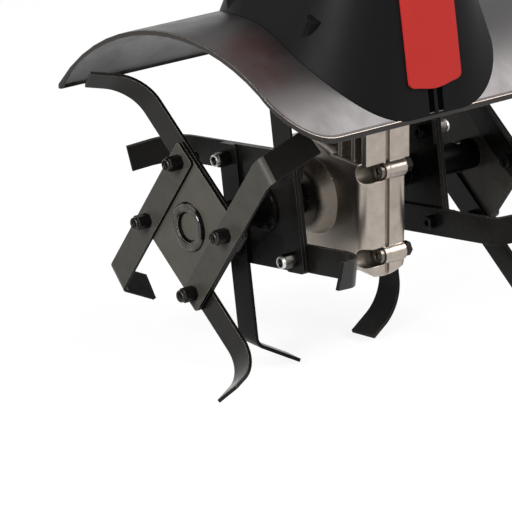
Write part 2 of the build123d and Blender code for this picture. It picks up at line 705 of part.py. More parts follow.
with BuildPart() as casting:
    add(worm_case.part)
    add(wheel_case.part)
    for _, side in SIDES:
        with BuildSketch(across(side * POCKET_HALF)):
            Circle(BOSS_ROOT_R)
        with BuildSketch(across(side * BOSS_FACE_Y)):
            Circle(BOSS_FACE_R)
        loft()
    with BuildSketch(plan(0, NECK_FOOT_Z)):
        with Locations(((NECK_BACK_X + PLATE_BACK_X) / 2, 0)):
            Rectangle(PLATE_BACK_X - NECK_BACK_X, NECK_WIDTH)
        with Locations((CASE_FRONT_X - NECK_PLATE / 2, 0)):
            Rectangle(NECK_PLATE, 2 * NECK_RIB_HALF)
        with Locations((CASE_FRONT_X - NECK_RIB_PITCH, 0), (CASE_FRONT_X - 2 * NECK_RIB_PITCH, 0)):
            Rectangle(NECK_RIB, 2 * NECK_RIB_HALF)
    extrude(amount=NECK_HEIGHT)
    with BuildSketch(plan(WORM_X, NECK_TOP_Z)):
        Circle(FLANGE_D / 2)
    extrude(amount=FLANGE_T)
    with BuildSketch(plan(CASE_FRONT_X, CASE_BOTTOM_Z)):
        Rectangle(2 * SEAM_DEPTH, 2 * SEAM_HALF)
    extrude(amount=NECK_TOP_Z - CASE_BOTTOM_Z, mode=Mode.SUBTRACT)
    with BuildSketch(across(CASE_BOSS_Y)):
        with Locations(*case_screws):
            Circle(CASE_BOSS_R)
    extrude(amount=CASE_BOSS_Y + CASE_SEAT_Y)
    with BuildSketch(across(-CASE_SEAT_Y)):
        with Locations(*case_screws):
            Circle(CASE_BOSS_R)
    extrude(amount=CASE_HALF_WIDTH, mode=Mode.SUBTRACT)
    with BuildSketch(across(CASE_BOSS_Y)):
        with Locations(*case_screws):
            Circle(CASE_BOSS_R)
    extrude(amount=-CASE_HALF_WIDTH, mode=Mode.SUBTRACT)
    with BuildSketch(across(CASE_BOSS_Y)):
        with Locations(*case_screws):
            Circle(CASE_SCREW_D / 2 + BOLT_GAP)
    extrude(amount=2 * CASE_HALF_WIDTH, mode=Mode.SUBTRACT)
    with BuildSketch(plan(WORM_X, LOWER_BEARING_Z)):
        Circle(WORM_BEARING_D / 2)
    extrude(amount=JOURNAL_TOP_Z - LOWER_BEARING_Z, mode=Mode.SUBTRACT)
    with BuildSketch(plan(WORM_X, JOURNAL_TOP_Z)):
        Circle(TUNNEL_R)
    extrude(amount=FLOOR_Z - JOURNAL_TOP_Z, mode=Mode.SUBTRACT)
    with BuildSketch(plan(WORM_X, NECK_TOP_Z)):
        with PolarLocations(MOTOR_BOLT_CIRCLE / 2, MOTOR_BOLTS, start_angle=180 / MOTOR_BOLTS):
            Circle(MOTOR_BOLT_D / 2 + SEAT_GAP)
    extrude(amount=FLANGE_T, mode=Mode.SUBTRACT)
    with BuildSketch(across(CHAMBER_HALF)):
        Circle(CHAMBER_R)
    extrude(amount=2 * CHAMBER_HALF, mode=Mode.SUBTRACT)
    with BuildSketch(across(POCKET_HALF)):
        Circle(POCKET_R)
        Circle(POCKET_INNER_R, mode=Mode.SUBTRACT)
        with Locations((POCKET_R, 0)):
            Rectangle(2 * POCKET_R, 2 * POCKET_R, mode=Mode.SUBTRACT)
    extrude(amount=2 * POCKET_HALF, mode=Mode.SUBTRACT)
    with BuildSketch(across(SHAFT_BEARING_Y)):
        Circle(WHEEL_HUB_D / 2 + CHAMBER_GAP)
    extrude(amount=2 * SHAFT_BEARING_Y, mode=Mode.SUBTRACT)
    for _, side in SIDES:
        with BuildSketch(across(side * SHAFT_BEARING_Y)):
            Circle(SHAFT_BEARING_D / 2)
        extrude(amount=-side * SHAFT_BEARING_W, mode=Mode.SUBTRACT)
        with BuildSketch(across(side * SEAL_Y)):
            Circle(SHAFT_BEARING_D / 2)
        extrude(amount=-side * SEAL_W, mode=Mode.SUBTRACT)
    with BuildSketch(across(BOSS_FACE_Y)):
        Circle(SHAFT_R + SHAFT_TUNNEL_GAP)
    extrude(amount=2 * BOSS_FACE_Y, mode=Mode.SUBTRACT)

for side_name, side in SIDES:
    with BuildPart() as case_half:
        add(casting.part)
        split(bisect_by=Plane.XZ, keep=Keep.TOP if side < 0 else Keep.BOTTOM)
    keep(case_half, f"gearbox_{side_name}_half")

with BuildPart() as gearbox_screws:
    with BuildSketch(across(-CASE_SEAT_Y)):
        with Locations(*case_screws):
            Circle(CASE_SCREW_HEAD_D / 2)
            RegularPolygon(BOLT_KEY / 2, 6, major_radius=False, mode=Mode.SUBTRACT)
    extrude(amount=CASE_SCREW_HEAD_H)
    with BuildSketch(across(-CASE_SEAT_Y)):
        with Locations(*case_screws):
            Circle(CASE_SCREW_D / 2)
    extrude(amount=-(CASE_SEAT_Y + CASE_BOSS_Y + NUT_HEX_H + THREAD_PROUD))
    with BuildSketch(across(-CASE_SEAT_Y)):
        with Locations(*case_screws):
            Circle(CASE_SCREW_D / 2)
    extrude(amount=CASE_SCREW_HEAD_H - BOLT_KEY_DEPTH)
keep(gearbox_screws, "gearbox_screws")

with BuildPart() as gearbox_nuts:
    with BuildSketch(across(CASE_BOSS_Y)):
        with Locations(*case_screws):
            RegularPolygon(NUT_FLATS / 2, 6, major_radius=False)
            Circle(CASE_SCREW_D / 2 + SEAT_GAP, mode=Mode.SUBTRACT)
    extrude(amount=-NUT_HEX_H)
keep(gearbox_nuts, "gearbox_nuts")


# Hood: an arch round the tines with a lip along its whole edge
HOOD_INNER_R = HOOD_R - HOOD_WALL
HOOD_LIP_R = HOOD_R - HOOD_LIP
HOOD_SPAN = 2 * HOOD_R
HOOD_FRONT_X = HOOD_R * cos(radians(HOOD_FRONT_ANGLE))
HOOD_LIP_TURN = degrees(HOOD_WALL / HOOD_R)


def arch_solid(inner_r, outer_r, start, end):
    """Part of a tube round the axle, between two angles up from forward."""
    with BuildPart() as arch:
        with BuildSketch(Plane.XZ):
            with BuildLine():
                outside = CenterArc((0, 0), outer_r, start, end - start)
                inside = CenterArc((0, 0), inner_r, start, end - start)
                Line(outside @ 0, inside @ 0)
                Line(outside @ 1, inside @ 1)
            make_face()
        extrude(amount=HOOD_SPAN, both=True)
    return arch.part


def hood_prism(inset):
    """Upright prism on the hood's outline seen from above, drawn in by an inset."""
    front = HOOD_FRONT_X + HOOD_WALL
    back = -HOOD_R - HOOD_WALL
    turns = (HOOD_CORNER_ANGLE, HOOD_SHOULDER_ANGLE, HOOD_SIDE_ANGLE)
    halves = (HOOD_CORNER_HALF, HOOD_SHOULDER_HALF, HOOD_SIDE_HALF)
    rim = [Vector(front, HOOD_FRONT_HALF)]
    rim += [Vector(HOOD_R * cos(radians(turn)), half) for turn, half in zip(turns, halves)]
    rim += [Vector(back, HOOD_REAR_HALF)]
    drawn_in = []
    for before, spot, after in zip(rim, rim[1:], rim[2:]):
        along = (after - before).normalized()
        drawn_in.append(spot + Vector(-along.Y, along.X) * inset)
    with BuildPart() as prism:
        with BuildSketch():
            with BuildLine():
                front_edge = Line((front - inset, 0), (front - inset, HOOD_FRONT_HALF))
                corner_edge = Spline(front_edge @ 1, *drawn_in, tangents=((0, 1), rim[-1] - rim[-2]))
                side_edge = Line(corner_edge @ 1, (back, HOOD_REAR_HALF - inset))
                Line(side_edge @ 1, (back, 0))
                mirror(about=Plane.XZ)
            make_face()
        extrude(amount=HOOD_SPAN)
    return prism.part


def hood_screw_planes():
    """Planes on the axle's radii where screws hold the hood up to the motor housing."""
    planes = []
    reach = HOUSING_BASE_CORNER - HOOD_SCREW_INSET
    y = HOUSING_BASE_HALF - HOUSING_BASE_CORNER + reach * sin(radians(HOOD_SCREW_TURN))
    front_x = HOUSING_BASE_FRONT - HOUSING_BASE_CORNER + reach * cos(radians(HOOD_SCREW_TURN))
    back_x = HOUSING_BASE_BACK + HOUSING_BASE_CORNER - reach * cos(radians(HOOD_SCREW_TURN))
    for x in (front_x, back_x):
        way = Vector(x, 0, sqrt(HOOD_R**2 - x**2)).normalized()
        for _, side in SIDES:
            seat = way * (HOOD_INNER_R - 2 * SEAT_GAP) + Vector(0, side * y, 0)
            planes.append(Plane(origin=seat, x_dir=(0, 1, 0), z_dir=way))
    return planes


with BuildPart() as hood_hollow:
    hollow_start = HOOD_FRONT_ANGLE + HOOD_LIP_TURN
    add(arch_solid(HOOD_LIP_R - HOOD_LIP, HOOD_INNER_R, hollow_start, HOOD_REAR_ANGLE - HOOD_LIP_TURN))
    add(hood_prism(HOOD_WALL), mode=Mode.INTERSECT)

with BuildPart() as tine_hood:
    add(arch_solid(HOOD_LIP_R, HOOD_R, HOOD_FRONT_ANGLE, HOOD_REAR_ANGLE))
    add(hood_prism(0), mode=Mode.INTERSECT)
    add(hood_hollow.part, mode=Mode.SUBTRACT)
    with BuildSketch(plan(WORM_X, 0)):
        Circle(FLANGE_D / 2 + NECK_GAP)
    extrude(amount=HOOD_SPAN, mode=Mode.SUBTRACT)
    for plane in hood_screw_planes():
        with BuildSketch(plane):
            Circle(SHELL_SCREW_D / 2 + BOLT_GAP)
        extrude(amount=SHELL_SCREW_LENGTH, mode=Mode.SUBTRACT)
keep(tine_hood, "tine_hood")

# Motor housing: a tapered shell on the hood, with a floor and posts that carry the motor
base_ends = (HOUSING_BASE_FRONT, HOUSING_BASE_BACK)
top_ends = (HOUSING_TOP_FRONT, HOUSING_TOP_BACK)
housing_base = (HOUSING_BASE_Z, *base_ends, HOUSING_BASE_HALF, HOUSING_BASE_CORNER)
housing_top = (HOUSING_TOP_Z, *top_ends, HOUSING_TOP_HALF, HOUSING_TOP_CORNER)
HOUSING_MIDDLE_X = (HOUSING_TOP_FRONT + HOUSING_TOP_BACK) / 2
HOUSING_TOP_LENGTH = HOUSING_TOP_FRONT - HOUSING_TOP_BACK
TUBE_R = TUBE_D / 2
SOCKET_R = TUBE_R + SOCKET_WALL
SOCKET_BOLT_POINT = SOCKET_POINT + HANDLE_DIR * SOCKET_BOLT_ALONG


def shell_solid(levels, inset):
    """Loft through rounded outlines, each given as height, front, back, half width and corner radius."""
    with BuildPart() as shell:
        for z, front, back, half, corner in levels:
            with BuildSketch(plan((front + back) / 2, z)):
                RectangleRounded(front - back - 2 * inset, 2 * (half - inset), corner - inset)
        loft()
    return shell.part


def top_ring(outer_inset, inner_inset, start_z, end_z):
    """Upright ring that follows the housing's top outline between two insets."""
    with BuildPart() as ring:
        with BuildSketch(plan(HOUSING_MIDDLE_X, start_z)):
            for inset, mode in ((outer_inset, Mode.ADD), (inner_inset, Mode.SUBTRACT)):
                length = HOUSING_TOP_LENGTH - 2 * inset
                width = 2 * (HOUSING_TOP_HALF - inset)
                RectangleRounded(length, width, HOUSING_TOP_CORNER - inset, mode=mode)
        extrude(amount=end_z - start_z)
    return ring.part


def handle_plane(y, along):
    """Plane square to the handle tubes, at a distance along them from the bottom of the sockets."""
    place = SOCKET_POINT + HANDLE_DIR * along + Vector(0, y, 0)
    return Plane(origin=place, x_dir=(0, 1, 0), z_dir=HANDLE_DIR)


def cover_screw_planes():
    """Planes across the machine where screws hold the cover to the housing's rim."""
    planes = []
    for _, side in SIDES:
        for end in (-1, 1):
            x = HOUSING_MIDDLE_X + end * COVER_SCREW_SPREAD / 2
            seat = (x, side * (HOUSING_TOP_HALF - COVER_SCREW_SEAT), HOUSING_TOP_Z + COVER_SCREW_RISE)
            planes.append(Plane(origin=seat, x_dir=(1, 0, 0), z_dir=(0, -side, 0)))
    return planes


housing_shape = shell_solid((housing_base, housing_top), 0)
housing_hollow = shell_solid((housing_base, housing_top), HOUSING_WALL)
rim_inset = COVER_WALL + RIM_GAP
with BuildPart() as housing_floor:
    add(housing_shape)
    with BuildSketch(plan(HOUSING_MIDDLE_X, FLOOR_Z)):
        Rectangle(HOOD_SPAN, HOOD_SPAN)
    extrude(amount=HOUSING_FLOOR, mode=Mode.INTERSECT)

with BuildPart() as motor_housing:
    add(housing_shape)
    add(housing_hollow, mode=Mode.SUBTRACT)
    add(housing_floor.part)
    add(top_ring(HOUSING_WALL / 2, rim_inset + RIM_T, HOUSING_TOP_Z - RIM_RISE, HOUSING_TOP_Z))
    add(top_ring(rim_inset, rim_inset + RIM_T, HOUSING_TOP_Z, HOUSING_TOP_Z + RIM_RISE))
    for _, side in SIDES:
        with BuildSketch(handle_plane(side * SOCKET_Y, -SOCKET_WALL)):
            Circle(SOCKET_R)
        extrude(amount=SOCKET_WALL + SOCKET_DEPTH)
    for plane in hood_screw_planes():
        with BuildSketch(plane):
            Circle(SHELL_BOSS_D / 2)
        extrude(amount=(FLOOR_Z + HOUSING_FLOOR / 2 - plane.origin.Z) / plane.z_dir.Z)
    with BuildSketch(plan(WORM_X, FLOOR_Z)):
        with PolarLocations(MOTOR_BOLT_CIRCLE / 2, MOTOR_BOLTS, start_angle=180 / MOTOR_BOLTS):
            Circle(MOTOR_POST_D / 2)
    extrude(amount=STATOR_Z - FLOOR_Z)
    with BuildSketch(Plane.XZ):
        Circle(HOOD_R + SEAT_GAP)
    extrude(amount=HOOD_SPAN, both=True, mode=Mode.SUBTRACT)
    for _, side in SIDES:
        with BuildSketch(handle_plane(side * SOCKET_Y, 0)):
            Circle(TUBE_R + SEAT_GAP)
        extrude(amount=SOCKET_DEPTH, mode=Mode.SUBTRACT)
    with BuildSketch(plan(WORM_X, FLOOR_Z)):
        Circle(TUNNEL_R)
        with PolarLocations(MOTOR_BOLT_CIRCLE / 2, MOTOR_BOLTS, start_angle=180 / MOTOR_BOLTS):
            Circle(MOTOR_BOLT_D / 2 + BOLT_GAP)
    extrude(amount=STATOR_Z - FLOOR_Z, mode=Mode.SUBTRACT)
    with BuildSketch(Plane.YZ.offset(HOUSING_TOP_FRONT - HOUSING_WALL)):
        with Locations((0, FRONT_SLOT_Z + FRONT_SLOT_H / 2)):
            with GridLocations(FRONT_SLOT_PITCH, 0, FRONT_SLOTS, 1):
                Rectangle(FRONT_SLOT_WIDTH, FRONT_SLOT_H)
    extrude(amount=HOOD_SPAN, mode=Mode.SUBTRACT)
    with BuildSketch(upright(SOCKET_BOLT_POINT.X, SOCKET_BOLT_POINT.Z)):
        Circle(MOTOR_BOLT_D / 2 + BOLT_GAP)
    extrude(amount=SOCKET_Y + SOCKET_R, both=True, mode=Mode.SUBTRACT)
    for plane in hood_screw_planes() + cover_screw_planes():
        with BuildSketch(plane):
            Circle(SHELL_SCREW_D / 2 + SEAT_GAP)
        extrude(amount=SHELL_SCREW_LENGTH, mode=Mode.SUBTRACT)
keep(motor_housing, "motor_housing")


# Red motor cover, with a tongue down the housing's front and a carrying handle on top
def cover_level(z, inset):
    """Outline of the cover at one height, drawn in from the housing's top."""
    front = HOUSING_TOP_FRONT - inset
    back = HOUSING_TOP_BACK + inset
    return (z, front, back, HOUSING_TOP_HALF - inset, HOUSING_TOP_CORNER - inset)


cover_shoulder = cover_level(COVER_SHOULDER_Z, COVER_SHOULDER_IN)
cover_levels = (housing_top, cover_shoulder, cover_level(COVER_TOP_Z, COVER_TOP_IN))
hollow_levels = (housing_top, cover_shoulder, cover_level(COVER_TOP_Z - COVER_WALL, COVER_TOP_IN))
with BuildPart() as tongue:
    add(shell_solid((housing_base, housing_top), -TONGUE_T))
    add(shell_solid(cover_levels, -TONGUE_T))
    add(shell_solid((housing_base, housing_top), -SEAT_GAP), mode=Mode.SUBTRACT)
    add(shell_solid(cover_levels, 0), mode=Mode.SUBTRACT)
    with BuildSketch(Plane.YZ.offset(HOUSING_MIDDLE_X)):
        with Locations((0, (TONGUE_BOTTOM_Z + TONGUE_TOP_Z) / 2)):
            RectangleRounded(2 * TONGUE_HALF, TONGUE_TOP_Z - TONGUE_BOTTOM_Z, TONGUE_CORNER)
    extrude(amount=HOOD_SPAN, mode=Mode.INTERSECT)

with BuildPart() as motor_cover:
    add(shell_solid(cover_levels, 0))
    fillet(motor_cover.faces().sort_by(Axis.Z)[-1].edges(), COVER_TOP_ROUND)
    add(shell_solid(hollow_levels, COVER_WALL), mode=Mode.SUBTRACT)
    add(tongue.part)
    carry_back = HOUSING_MIDDLE_X - CARRY_SPAN / 2
    carry_front = HOUSING_MIDDLE_X + CARRY_SPAN / 2
    carry_foot_z = COVER_TOP_Z - COVER_WALL
    with BuildLine(Plane.XZ) as carry_path:
        FilletPolyline(
            (carry_back, carry_foot_z),
            (carry_back, COVER_TOP_Z + CARRY_RISE),
            (carry_front, COVER_TOP_Z + CARRY_RISE),
            (carry_front, carry_foot_z),
            radius=CARRY_BEND,
        )
    with BuildSketch(plan(carry_back, carry_foot_z)):
        Circle(CARRY_BAR_D / 2)
    sweep(path=carry_path.line)
    with BuildSketch(Plane.XZ):
        with Locations((HOUSING_MIDDLE_X, SIDE_SLOT_Z + SIDE_SLOT_H / 2)):
            with GridLocations(SIDE_SLOT_PITCH, 0, SIDE_SLOTS, 1):
                SlotOverall(SIDE_SLOT_H, SIDE_SLOT_WIDTH, rotation=90)
    extrude(amount=HOOD_SPAN, both=True, mode=Mode.SUBTRACT)
    for plane in cover_screw_planes():
        with BuildSketch(plane):
            Circle(SHELL_SCREW_D / 2 + BOLT_GAP)
        extrude(amount=SHELL_SCREW_LENGTH, mode=Mode.SUBTRACT)
        with BuildSketch(plane):
            Circle(SHELL_SCREW_HEAD_D / 2 + BOLT_GAP)
        extrude(amount=-SHELL_SCREW_HEAD_H, mode=Mode.SUBTRACT)
keep(motor_cover, "motor_cover")

with BuildPart() as shell_screws:
    for plane in hood_screw_planes() + cover_screw_planes():
        with BuildSketch(plane):
            Circle(SHELL_SCREW_HEAD_D / 2)
        extrude(amount=-SHELL_SCREW_HEAD_H)
        with BuildSketch(plane):
            Circle(SHELL_SCREW_D / 2)
        extrude(amount=SHELL_SCREW_LENGTH)
keep(shell_screws, "shell_screws")

# Motor
with BuildPart() as stator:
    with BuildSketch(plan(WORM_X, STATOR_Z)):
        Circle(MOTOR_D / 2)
        Circle(STATOR_BORE_D / 2, mode=Mode.SUBTRACT)
        with PolarLocations(MOTOR_BOLT_CIRCLE / 2, MOTOR_BOLTS, start_angle=180 / MOTOR_BOLTS):
            Circle(MOTOR_BOLT_D / 2 + BOLT_GAP, mode=Mode.SUBTRACT)
    extrude(amount=STATOR_H)
keep(stator, "stator")

ARMATURE_R = STATOR_BORE_D / 2 - AIR_GAP
with BuildPart() as armature:
    with BuildSketch(plan(WORM_X, STATOR_Z + (STATOR_H - ARMATURE_H) / 2)):
        Circle(ARMATURE_R)
        Circle(MOTOR_SHAFT_R + SEAT_GAP, mode=Mode.SUBTRACT)
        with PolarLocations(ARMATURE_R, ARMATURE_SLOTS):
            Rectangle(2 * ARMATURE_SLOT_DEPTH, ARMATURE_SLOT_WIDTH, mode=Mode.SUBTRACT)
    extrude(amount=ARMATURE_H)
keep(armature, "armature")

with BuildPart() as cooling_fan:
    with BuildSketch(plan(WORM_X, FAN_Z)):
        Circle(FAN_D / 2)
    extrude(amount=FAN_BLADE_T)
    with BuildSketch(plan(WORM_X, FAN_Z)):
        Circle(MOTOR_SHAFT_R + FAN_HUB_WALL)
        with PolarLocations((FAN_D - FAN_BLADE_LENGTH) / 2, FAN_BLADES):
            Rectangle(FAN_BLADE_LENGTH, FAN_BLADE_T, rotation=FAN_BLADE_LEAN)
    extrude(amount=FAN_H)
    with BuildSketch(plan(WORM_X, FAN_Z)):
        Circle(MOTOR_SHAFT_R + SEAT_GAP)
    extrude(amount=FAN_H, mode=Mode.SUBTRACT)
keep(cooling_fan, "cooling_fan")

with BuildPart() as motor_end_bracket:
    with BuildSketch(plan(WORM_X, BRACKET_Z)):
        Circle(MOTOR_D / 2)
        with PolarLocations((TOP_BEARING_D + MOTOR_D) / 4, MOTOR_BOLTS):
            Circle(BRACKET_HOLE_D / 2, mode=Mode.SUBTRACT)
        with PolarLocations(MOTOR_BOLT_CIRCLE / 2, MOTOR_BOLTS, start_angle=180 / MOTOR_BOLTS):
            Circle(MOTOR_BOLT_D / 2 + BOLT_GAP, mode=Mode.SUBTRACT)
        Circle(TUNNEL_R, mode=Mode.SUBTRACT)
    extrude(amount=BRACKET_H)
    with BuildSketch(plan(WORM_X, TOP_BEARING_Z)):
        Circle(TOP_BEARING_D / 2)
    extrude(amount=TOP_BEARING_W, mode=Mode.SUBTRACT)
keep(motor_end_bracket, "motor_end_bracket")

with BuildPart() as motor_bolts:
    with BuildSketch(plan(WORM_X, NECK_TOP_Z)):
        with PolarLocations(MOTOR_BOLT_CIRCLE / 2, MOTOR_BOLTS, start_angle=180 / MOTOR_BOLTS):
            Circle(MOTOR_BOLT_D / 2)
    extrude(amount=BRACKET_TOP_Z - NECK_TOP_Z)
    with BuildSketch(plan(WORM_X, BRACKET_TOP_Z)):
        with PolarLocations(MOTOR_BOLT_CIRCLE / 2, MOTOR_BOLTS, start_angle=180 / MOTOR_BOLTS):
            RegularPolygon(MOTOR_BOLT_D * HEX_PER_D / 2, 6, major_radius=False)
    extrude(amount=MOTOR_BOLT_D * HEX_H_PER_D)
keep(motor_bolts, "motor_bolts")

# Lower handle tubes in the housing's sockets
with BuildPart() as lower_handle_tubes:
    for _, side in SIDES:
        with BuildSketch(handle_plane(side * SOCKET_Y, 0)):
            Circle(TUBE_R)
            Circle(TUBE_R - TUBE_WALL, mode=Mode.SUBTRACT)
        extrude(amount=LOWER_LENGTH)
    for spot, bolt_d in ((SOCKET_BOLT_POINT, MOTOR_BOLT_D), (FOLD_POINT, FOLD_BOLT_D)):
        with BuildSketch(upright(spot.X, spot.Z)):
            Circle(bolt_d / 2 + BOLT_GAP)
        extrude(amount=SOCKET_Y + TUBE_D, both=True, mode=Mode.SUBTRACT)
keep(lower_handle_tubes, "lower_handle_tubes")

with BuildPart() as socket_bolts:
    for _, side in SIDES:
        head_plane = upright(SOCKET_BOLT_POINT.X, SOCKET_BOLT_POINT.Z, side * (SOCKET_Y + SOCKET_R))
        with BuildSketch(head_plane):
            Circle(MOTOR_BOLT_D / 2)
        extrude(amount=side * 2 * SOCKET_R)
        with BuildSketch(head_plane):
            RegularPolygon(MOTOR_BOLT_D * HEX_PER_D / 2, 6, major_radius=False)
        extrude(amount=-side * MOTOR_BOLT_D * HEX_H_PER_D)
keep(socket_bolts, "socket_bolts")

# Fold joint: a bolt, a spacer and a clamp knob on each side
FOLD_INNER_Y = SOCKET_Y - TUBE_R
KNOB_Y = UPPER_Y + TUBE_R + FREE_GAP
FOLD_BOLT_END_Y = KNOB_Y + KNOB_BORE_DEPTH - FREE_GAP
with BuildPart() as fold_bolts:
    for _, side in SIDES:
        with BuildSketch(upright(FOLD_POINT.X, FOLD_POINT.Z, side * FOLD_INNER_Y)):
            Circle(FOLD_BOLT_D / 2)
        extrude(amount=-side * (FOLD_BOLT_END_Y - FOLD_INNER_Y))
        with BuildSketch(upright(FOLD_POINT.X, FOLD_POINT.Z, side * FOLD_INNER_Y)):
            Circle(FOLD_HEAD_D / 2)
        extrude(amount=side * FOLD_HEAD_H)
keep(fold_bolts, "fold_bolts")

with BuildPart() as fold_spacers:
    for _, side in SIDES:
        cup_y = SOCKET_Y + TUBE_R - SPACER_CUP
        with BuildSketch(upright(FOLD_POINT.X, FOLD_POINT.Z, side * cup_y)):
            Circle(SPACER_D / 2)
            Circle(FOLD_BOLT_D / 2 + BOLT_GAP, mode=Mode.SUBTRACT)
        extrude(amount=-side * (SPACER_CUP + SPACER_T - FREE_GAP))
    for _, side in SIDES:
        with BuildSketch(handle_plane(side * SOCKET_Y, 0)):
            Circle(TUBE_R + SEAT_GAP)
        extrude(amount=2 * LOWER_LENGTH, mode=Mode.SUBTRACT)
keep(fold_spacers, "fold_spacers")

for side_name, side in SIDES:
    with BuildPart() as knob:
        with BuildSketch(upright(FOLD_POINT.X, FOLD_POINT.Z, side * KNOB_Y)):
            Circle((KNOB_D - KNOB_LOBE_R) / 2)
            with PolarLocations(KNOB_D / 2 - KNOB_LOBE_R, KNOB_LOBES):
                Circle(KNOB_LOBE_R)
        extrude(amount=-side * KNOB_H)
        knob_top = knob.faces().sort_by(Axis.Y)[0 if side < 0 else -1]
        fillet(knob_top.edges(), KNOB_ROUND)
        with BuildSketch(upright(FOLD_POINT.X, FOLD_POINT.Z, side * KNOB_Y)):
            Circle(FOLD_BOLT_D / 2 + RUN_GAP)
        extrude(amount=-side * KNOB_BORE_DEPTH, mode=Mode.SUBTRACT)
    keep(knob, f"{side_name}_clamp_knob")

# Upper handle: one tube bent into a wide bow
bow_points = [
    (UPPER_Y, -UPPER_TAIL),
    (UPPER_Y, UPPER_STRAIGHT),
    (GRIP_HALF_SPAN, UPPER_STRAIGHT + UPPER_FLARE),
    (GRIP_HALF_SPAN, UPPER_LENGTH),
]
bow_points += [(-y, along) for y, along in reversed(bow_points)]
bow_radii = 2 * [FLARE_BEND_R] + 2 * [HANDLE_BEND_R] + 2 * [FLARE_BEND_R]
with BuildPart() as upper_handle:
    with BuildLine(Plane(origin=FOLD_POINT, x_dir=(0, 1, 0), z_dir=HANDLE_UP)) as bow:
        FilletPolyline(*bow_points, radius=bow_radii)
    with BuildSketch(Plane(origin=bow.line @ 0, x_dir=(0, 1, 0), z_dir=bow.line % 0)):
        Circle(TUBE_R)
        Circle(TUBE_R - TUBE_WALL, mode=Mode.SUBTRACT)
    sweep(path=bow.line)
    with BuildSketch(upright(FOLD_POINT.X, FOLD_POINT.Z)):
        Circle(FOLD_BOLT_D / 2 + RUN_GAP)
    extrude(amount=UPPER_Y + TUBE_D, both=True, mode=Mode.SUBTRACT)
keep(upper_handle, "upper_handle")


# Grips and switch box on the cross bar
def bar_plane(along, up):
    """Plane parallel to the handle's, at a distance up the handle and square to it from the cross bar."""
    return Plane(origin=BAR_POINT + HANDLE_DIR * along + HANDLE_UP * up, x_dir=(0, 1, 0), z_dir=HANDLE_UP)


def bar_section(y, along, up):
    """Plane square to the cross bar, its X axis up the handle."""
    place = BAR_POINT + HANDLE_DIR * along + HANDLE_UP * up + Vector(0, y, 0)
    return Plane(origin=place, x_dir=HANDLE_DIR, z_dir=(0, 1, 0))


BOX_MIDDLE = (BOX_UP - BOX_DOWN) / 2
BOX_SPAN = BOX_UP + BOX_DOWN
LEVER_R = LEVER_D / 2
handle_axis = Axis(BAR_POINT, HANDLE_UP)
with BuildPart() as handle_grips:
    for _, side in SIDES:
        with BuildSketch(bar_section(side * (BOX_HALF_Y + GRIP_FROM_BOX), 0, 0)):
            Circle(GRIP_D / 2)
        extrude(amount=side * GRIP_LENGTH)
    fillet(handle_grips.edges().filter_by(GeomType.CIRCLE), GRIP_ROUND)
    with BuildSketch(bar_section(0, 0, 0)):
        Circle(TUBE_R + SEAT_GAP)
    extrude(amount=GRIP_HALF_SPAN, both=True, mode=Mode.SUBTRACT)
keep(handle_grips, "handle_grips")

with BuildPart() as switch_box:
    with BuildSketch(bar_plane(BOX_MIDDLE, -BOX_BELOW)):
        RectangleRounded(2 * BOX_HALF_Y, BOX_SPAN, BOX_CORNER)
    extrude(amount=BOX_BELOW + BOX_ABOVE)
    fillet(switch_box.faces().sort_by(handle_axis)[-1].edges(), BOX_ROUND)
    fillet(switch_box.faces().sort_by(handle_axis)[0].edges(), BOX_ROUND)
    with BuildSketch(bar_plane(BOX_MIDDLE, BOX_WALL - BOX_BELOW)):
        RectangleRounded(2 * (BOX_HALF_Y - BOX_WALL), BOX_SPAN - 2 * BOX_WALL, BOX_CORNER - BOX_WALL)
    extrude(amount=BOX_BELOW + BOX_ABOVE - 2 * BOX_WALL, mode=Mode.SUBTRACT)
    with BuildSketch(bar_section(0, 0, 0)):
        Circle(TUBE_R + SEAT_GAP)
    extrude(amount=2 * BOX_HALF_Y, both=True, mode=Mode.SUBTRACT)
    with BuildSketch(bar_section(0, -LEVER_PIVOT_DOWN, -LEVER_PIVOT_BELOW)):
        Circle(LEVER_R + RUN_GAP)
    extrude(amount=2 * BOX_HALF_Y, both=True, mode=Mode.SUBTRACT)
    with BuildSketch(bar_plane(-BUTTON_DOWN, 0)):
        Circle(BUTTON_D / 2 + RUN_GAP)
    extrude(amount=2 * BOX_ABOVE, mode=Mode.SUBTRACT)

for name, kept in (("switch_box_top", Keep.TOP), ("switch_box_base", Keep.BOTTOM)):
    with BuildPart() as box_half:
        add(switch_box.part)
        split(bisect_by=bar_plane(0, 0), keep=kept)
    keep(box_half, name)

LEVER_POINT = BAR_POINT - HANDLE_DIR * LEVER_PIVOT_DOWN - HANDLE_UP * LEVER_PIVOT_BELOW
lever_arm = HANDLE_DIR * (LEVER_PIVOT_DOWN - LEVER_BAR_DOWN)
lever_arm += HANDLE_UP * (LEVER_PIVOT_BELOW - LEVER_BAR_BELOW)
lever_side = Vector(0, 1, 0)
lever_plane = Plane(origin=LEVER_POINT, x_dir=lever_side, z_dir=lever_side.cross(lever_arm))
lever_points = [
    (LEVER_END_Y, lever_arm.length),
    (LEVER_ARM_Y, lever_arm.length),
    (BOX_HALF_Y + LEVER_AXLE_GAP, 0),
]
lever_points += [(-y, along) for y, along in reversed(lever_points)]
with BuildPart() as switch_lever:
    with BuildLine(lever_plane) as lever_path:
        FilletPolyline(*lever_points, radius=LEVER_BEND_R)
    with BuildSketch(Plane(origin=lever_path.line @ 0, z_dir=lever_path.line % 0)):
        Circle(LEVER_R)
    sweep(path=lever_path.line)
    with BuildSketch(bar_plane(-LEVER_PIVOT_DOWN, -LEVER_PIVOT_BELOW)):
        with Locations((BOX_HALF_Y / 2, 0)):
            Rectangle(CAM_T, CAM_WIDTH)
    extrude(amount=CAM_REACH)
keep(switch_lever, "switch_lever")

